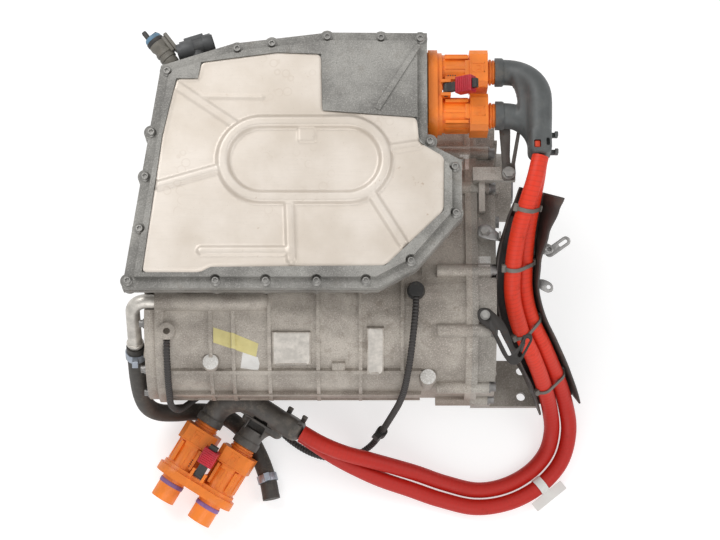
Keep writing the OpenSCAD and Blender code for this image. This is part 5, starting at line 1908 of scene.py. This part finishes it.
@dataclass
class Drapes:
    """Tape, a paper slip, milled faces and bosses with ground tops on the castings; sizes in millimetres."""

    tape: tuple[Pair, ...] = (
        (-401.5, -219.3), (-371, -228.3), (-342.5, -239.1), (-345.9, -254.9), (-373.5, -246.5),
        (-401.8, -237.8))
    paper: tuple[Pair, ...] = (
        (-363.4, -249.6), (-343.7, -254.9), (-341.6, -262.5), (-343.4, -270.7), (-366.9, -267.6))
    discs: tuple[tuple[float, float, float], ...] = ((-405.7, -262, 11.2), (-119.6, -279, 11.2))
    pads: tuple[tuple[Pair, ...], ...] = (
        ((-54, -124), (-37, -124), (-37, -140), (-54, -140)), ((-76, 18), (-64, 18), (-64, -2), (-78, -2)))
    milled: tuple[tuple[Pair, ...], ...] = (
        ((-322.4, -225.3), (-275.8, -225.3), (-275.8, -265), (-322.4, -265)),
        ((-198.5, -221), (-179.7, -221), (-179.7, -275.6), (-198.5, -275.6)))
    carriers: tuple[str, ...] = ("motor_housing", "gearbox_cover", "motor_end_cover")
    grid: float = 2.2
    clear: float = 0.7
    above: float = 400.0
    tape_thick: float = 0.35
    paper_thick: float = 0.25
    face_thick: float = 0.3
    probes: int = 7

    def ground(self) -> list[BVHTree]:
        """Give the castings as trees for casting rays.

        Returns:
            One tree for each casting.
        """
        trees = []
        for name in self.carriers:
            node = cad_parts[name]
            verts = [node.matrix_world @ v.co for v in node.data.vertices]
            trees.append(BVHTree.FromPolygons(verts, [list(f.vertices) for f in node.data.polygons]))
        return trees

    def level(self, trees: Sequence[BVHTree], x: float, y: float) -> float | None:
        """Give the height of the castings at a place, in millimetres.

        Args:
            trees: the castings.
            x, y: the place in millimetres.

        Returns:
            The height, or None beside them.
        """
        start = Vector((x, y, self.above)) * MM
        hits = [tree.ray_cast(start, Vector((0, 0, -1)))[0] for tree in trees]
        return max((hit.z / MM for hit in hits if hit), default=None)

    def sheet(self, name: str, outline: Outline, trees: Sequence[BVHTree], thick: float,
              finish: Finish) -> Object:
        """Lay a sheet of a given outline on the castings.

        Args:
            name: the piece's name.
            outline: its outline in x and y.
            trees: the castings.
            thick: its thickness.
            finish: its finish.

        Returns:
            The sheet.
        """
        rim = stepped(outline, self.grid)
        xs, ys = [p.x for p in rim], [p.y for p in rim]
        places = list(rim)
        for i in range(int((max(xs) - min(xs)) / self.grid) + 1):
            for j in range(int((max(ys) - min(ys)) / self.grid) + 1):
                spot = Vector((min(xs) + i * self.grid, min(ys) + j * self.grid))
                if min((spot - p).length for p in rim) > self.clear * self.grid:
                    places.append(spot)
        ring = ring_of(len(rim))
        flat, _, faces, origin, _, _ = delaunay_2d_cdt(places, ring, [], INSIDE_ONLY, CDT_GAP)
        spot_of = {o: i for i, found in enumerate(origin) for o in found}
        used = sorted({i for face in faces for i in face})
        number = {old: new for new, old in enumerate(used)}
        verts = [Vector((*flat[i], self.level(trees, *flat[i]) + thick)) * MM for i in used]
        verts += [v - Vector((0, 0, 2 * thick * MM)) for v in verts]
        low = len(used)
        loops = [[number[i] for i in face] for face in faces]
        under = [[low + i for i in reversed(loop)] for loop in loops]
        edge = [number[spot_of[i]] for i in range(len(rim))]
        sides = [[edge[a], edge[b], low + edge[b], low + edge[a]] for a, b in ring]
        return skin(name, verts, [*loops, *under, *sides], finish, SHEET_EDGE)

    def build(self) -> None:
        """Lay every sheet."""
        trees = self.ground()
        add(self.sheet("tape_strip", self.tape, trees, self.tape_thick, Finish.TAPE), "paper")
        add(self.sheet("paper_slip", self.paper, trees, self.paper_thick, Finish.PAPER), "paper")
        made = [self.sheet(f"spot_{k}", outline, trees, self.face_thick, Finish.GROUND)
                for k, outline in enumerate(self.pads)]
        cuts = [self.sheet(f"face_{k}", rounded(outline, 6), trees, self.face_thick, Finish.MILLED)
                for k, outline in enumerate(self.milled)]
        add(joined("milled_faces", cuts, Finish.MILLED), "cast_housing")
        bosses = []
        for x, y, r in self.discs:
            rim = [(x + r * math.cos(k), y + r * math.sin(k)) for k in range(self.probes)]
            levels = [z for z in (self.level(trees, *spot) for spot in rim) if z is not None]
            top, low = max(levels) + 1, min(levels) - 4
            post = ((0, low), (r, low), (r, top - 1), (r - 1, top), (0, top))
            face = ((0, top - 0.5), (r - 1, top - 0.5), (r - 1, top + 0.3), (0, top + 0.3))
            for rings, finish, group in ((post, Finish.HOUSING, bosses), (face, Finish.GROUND, made)):
                group.append(solid("boss", turned(rings, 36), finish, Matrix.Translation((x, y, 0))))
        add(joined("ground_bosses", bosses, Finish.HOUSING), "cast_housing")
        add(joined("ground_spots", made, Finish.GROUND), "cast_housing")


@dataclass
class Grips:
    """Finger ribs on both lock slides; sizes in millimetres, in the lever's frame."""

    pivot: Point = (23.0, 0.0, 28.0)
    first: float = 21.0
    step: float = 3.0
    count: int = 7
    top: float = 6.5
    half: float = 9.6
    rests: tuple[tuple[Site, float], ...] = ((Site.UPPER, 35), (Site.LOWER, 14))

    def build(self) -> None:
        """Set the ribs on the slides."""
        rib = loose_shape("grip_rib", rounded_box((-0.8, -self.half, -0.8), (0.8, self.half, 0.9), 0.35))
        for site, angle in self.rests:
            turn = site.value @ Matrix.Translation(self.pivot) @ Matrix.Rotation(math.radians(-angle), 4, "Y")
            places = [turn @ Vector((self.first + self.step * k, 0, self.top)) * MM for k in range(self.count)]
            name = site.name.lower()
            made = REPEATS.make(name + "_grip_ribs", places, rib, Finish.CRIMSON, turn.to_euler(), 0.0)
            add(made, "crimson_plastic", body=name + "_lock")


@dataclass
class CornerFittings:
    """The elbow's sleeve, its latch and the stopper with a black pin; sizes in millimetres."""

    wall: tuple[Pair, Pair] = ((-455.5, 98.3), (-371.0, 125.3))
    share: float = 0.09
    level: float = 176.0
    reach: float = 24.0
    turn: float = 110.0

    def site(self) -> Matrix:
        """Give the frame of the elbow's arm, with x along the arm.

        Returns:
            The frame, in millimetres.
        """
        (x0, y0), (x1, y1) = self.wall
        place = (x0 + self.share * (x1 - x0), y0 + self.share * (y1 - y0), self.level)
        lean = math.atan2(y1 - y0, x1 - x0)
        base = Matrix.Translation(place) @ Matrix.Rotation(lean, 4, "Z")
        arm = Matrix.Translation((0, self.reach, 0)) @ Matrix.Rotation(math.radians(self.turn), 4, "Z")
        return base @ arm

    def spun(self, name: str, rings: Sequence[Pair], finish: Finish) -> Object:
        """Turn a profile of radius and place round the arm's axis."""
        return solid(name, turned(rings, 36), finish, self.site() @ ALONG_X)

    def block(self, name: str, low: Point, high: Point, cut: float, finish: Finish) -> Object:
        """Make a rounded block in the arm's frame."""
        return solid(name, rounded_box(low, high, cut), finish, self.site())

    def build(self) -> None:
        """Make the fittings."""
        sleeve = self.spun("sleeve", (
            (0, 1), (9.6, 1), (10.2, 2), (10.2, 9), (11.4, 10), (11.4, 14), (10.4, 15), (10.4, 17), (11.4, 18),
            (11.4, 22), (10.4, 23), (10.4, 27), (11.8, 30), (11.8, 36), (10.8, 37), (0, 37)), Finish.ELBOW)
        latch = self.block("latch", (12, -18.5, -6), (41, -13.4, 7), 1.4, Finish.ELBOW)
        side = self.block("latch", (14, -13, -6), (38, -8, 9), 1.4, Finish.ELBOW)
        root = self.block("latch", (16, -17, -4), (34, -10, 4), 0.8, Finish.ELBOW)
        add(joined("elbow_sleeve", [sleeve, latch, side, root], Finish.ELBOW), "elbow_plastic")
        band = self.spun("band", (
            (0, 36.6), (11.9, 36.6), (12.3, 37.4), (12.3, 41.4), (11.6, 42.2), (0, 42.2)), Finish.BLACK)
        cup = self.spun("stopper", (
            (0, 41.8), (11.2, 41.8), (11.6, 42.6), (11.2, 46), (10, 48), (7.4, 48), (6.8, 46), (0, 46)),
                        Finish.BLUE)
        add(cup, "blue_plastic", "elbow_plug")
        pin = self.spun("pin", ((0, 42), (3.4, 42.5), (3.4, 57), (2.8, 59), (0, 59.8)), Finish.BLACK)
        bar = self.block("pin", (46, -9, -1.8), (51, 3, 1.8), 1.2, Finish.BLACK)
        pin.data.transform(Matrix.Translation(self.site().to_3x3() @ Vector((0, 5, 4)) * MM))
        add(joined("stopper_pin", [band, pin, bar], Finish.BLACK), "black_plastic")


def main() -> None:
    """Build the studio, the cords, the castings and the fittings in order."""
    logging.basicConfig(level=logging.INFO, format="%(message)s")
    lead = HighVoltageLead()
    for part in (Studio(), lead, CoolantHose(), HarnessSleeve(), Castings(), StampedPlate(), FlangeScrews(),
                 Hood("upper", "upper_conduit", "conduit_plastic", Site.UPPER, Finish.CONDUIT),
                 Hood("lower", "lower_boot", "boot_plastic", Site.LOWER, Finish.BOOT, open_side=True),
                 PlugTrim("upper", Site.UPPER), PlugTrim("lower", Site.LOWER),
                 CableCarrier(lead), Brackets(), Drapes(), Grips(), CornerFittings()):
        part.build()
        LOG.info("built %s", type(part).__name__)


if __name__ == "__main__":
    main()
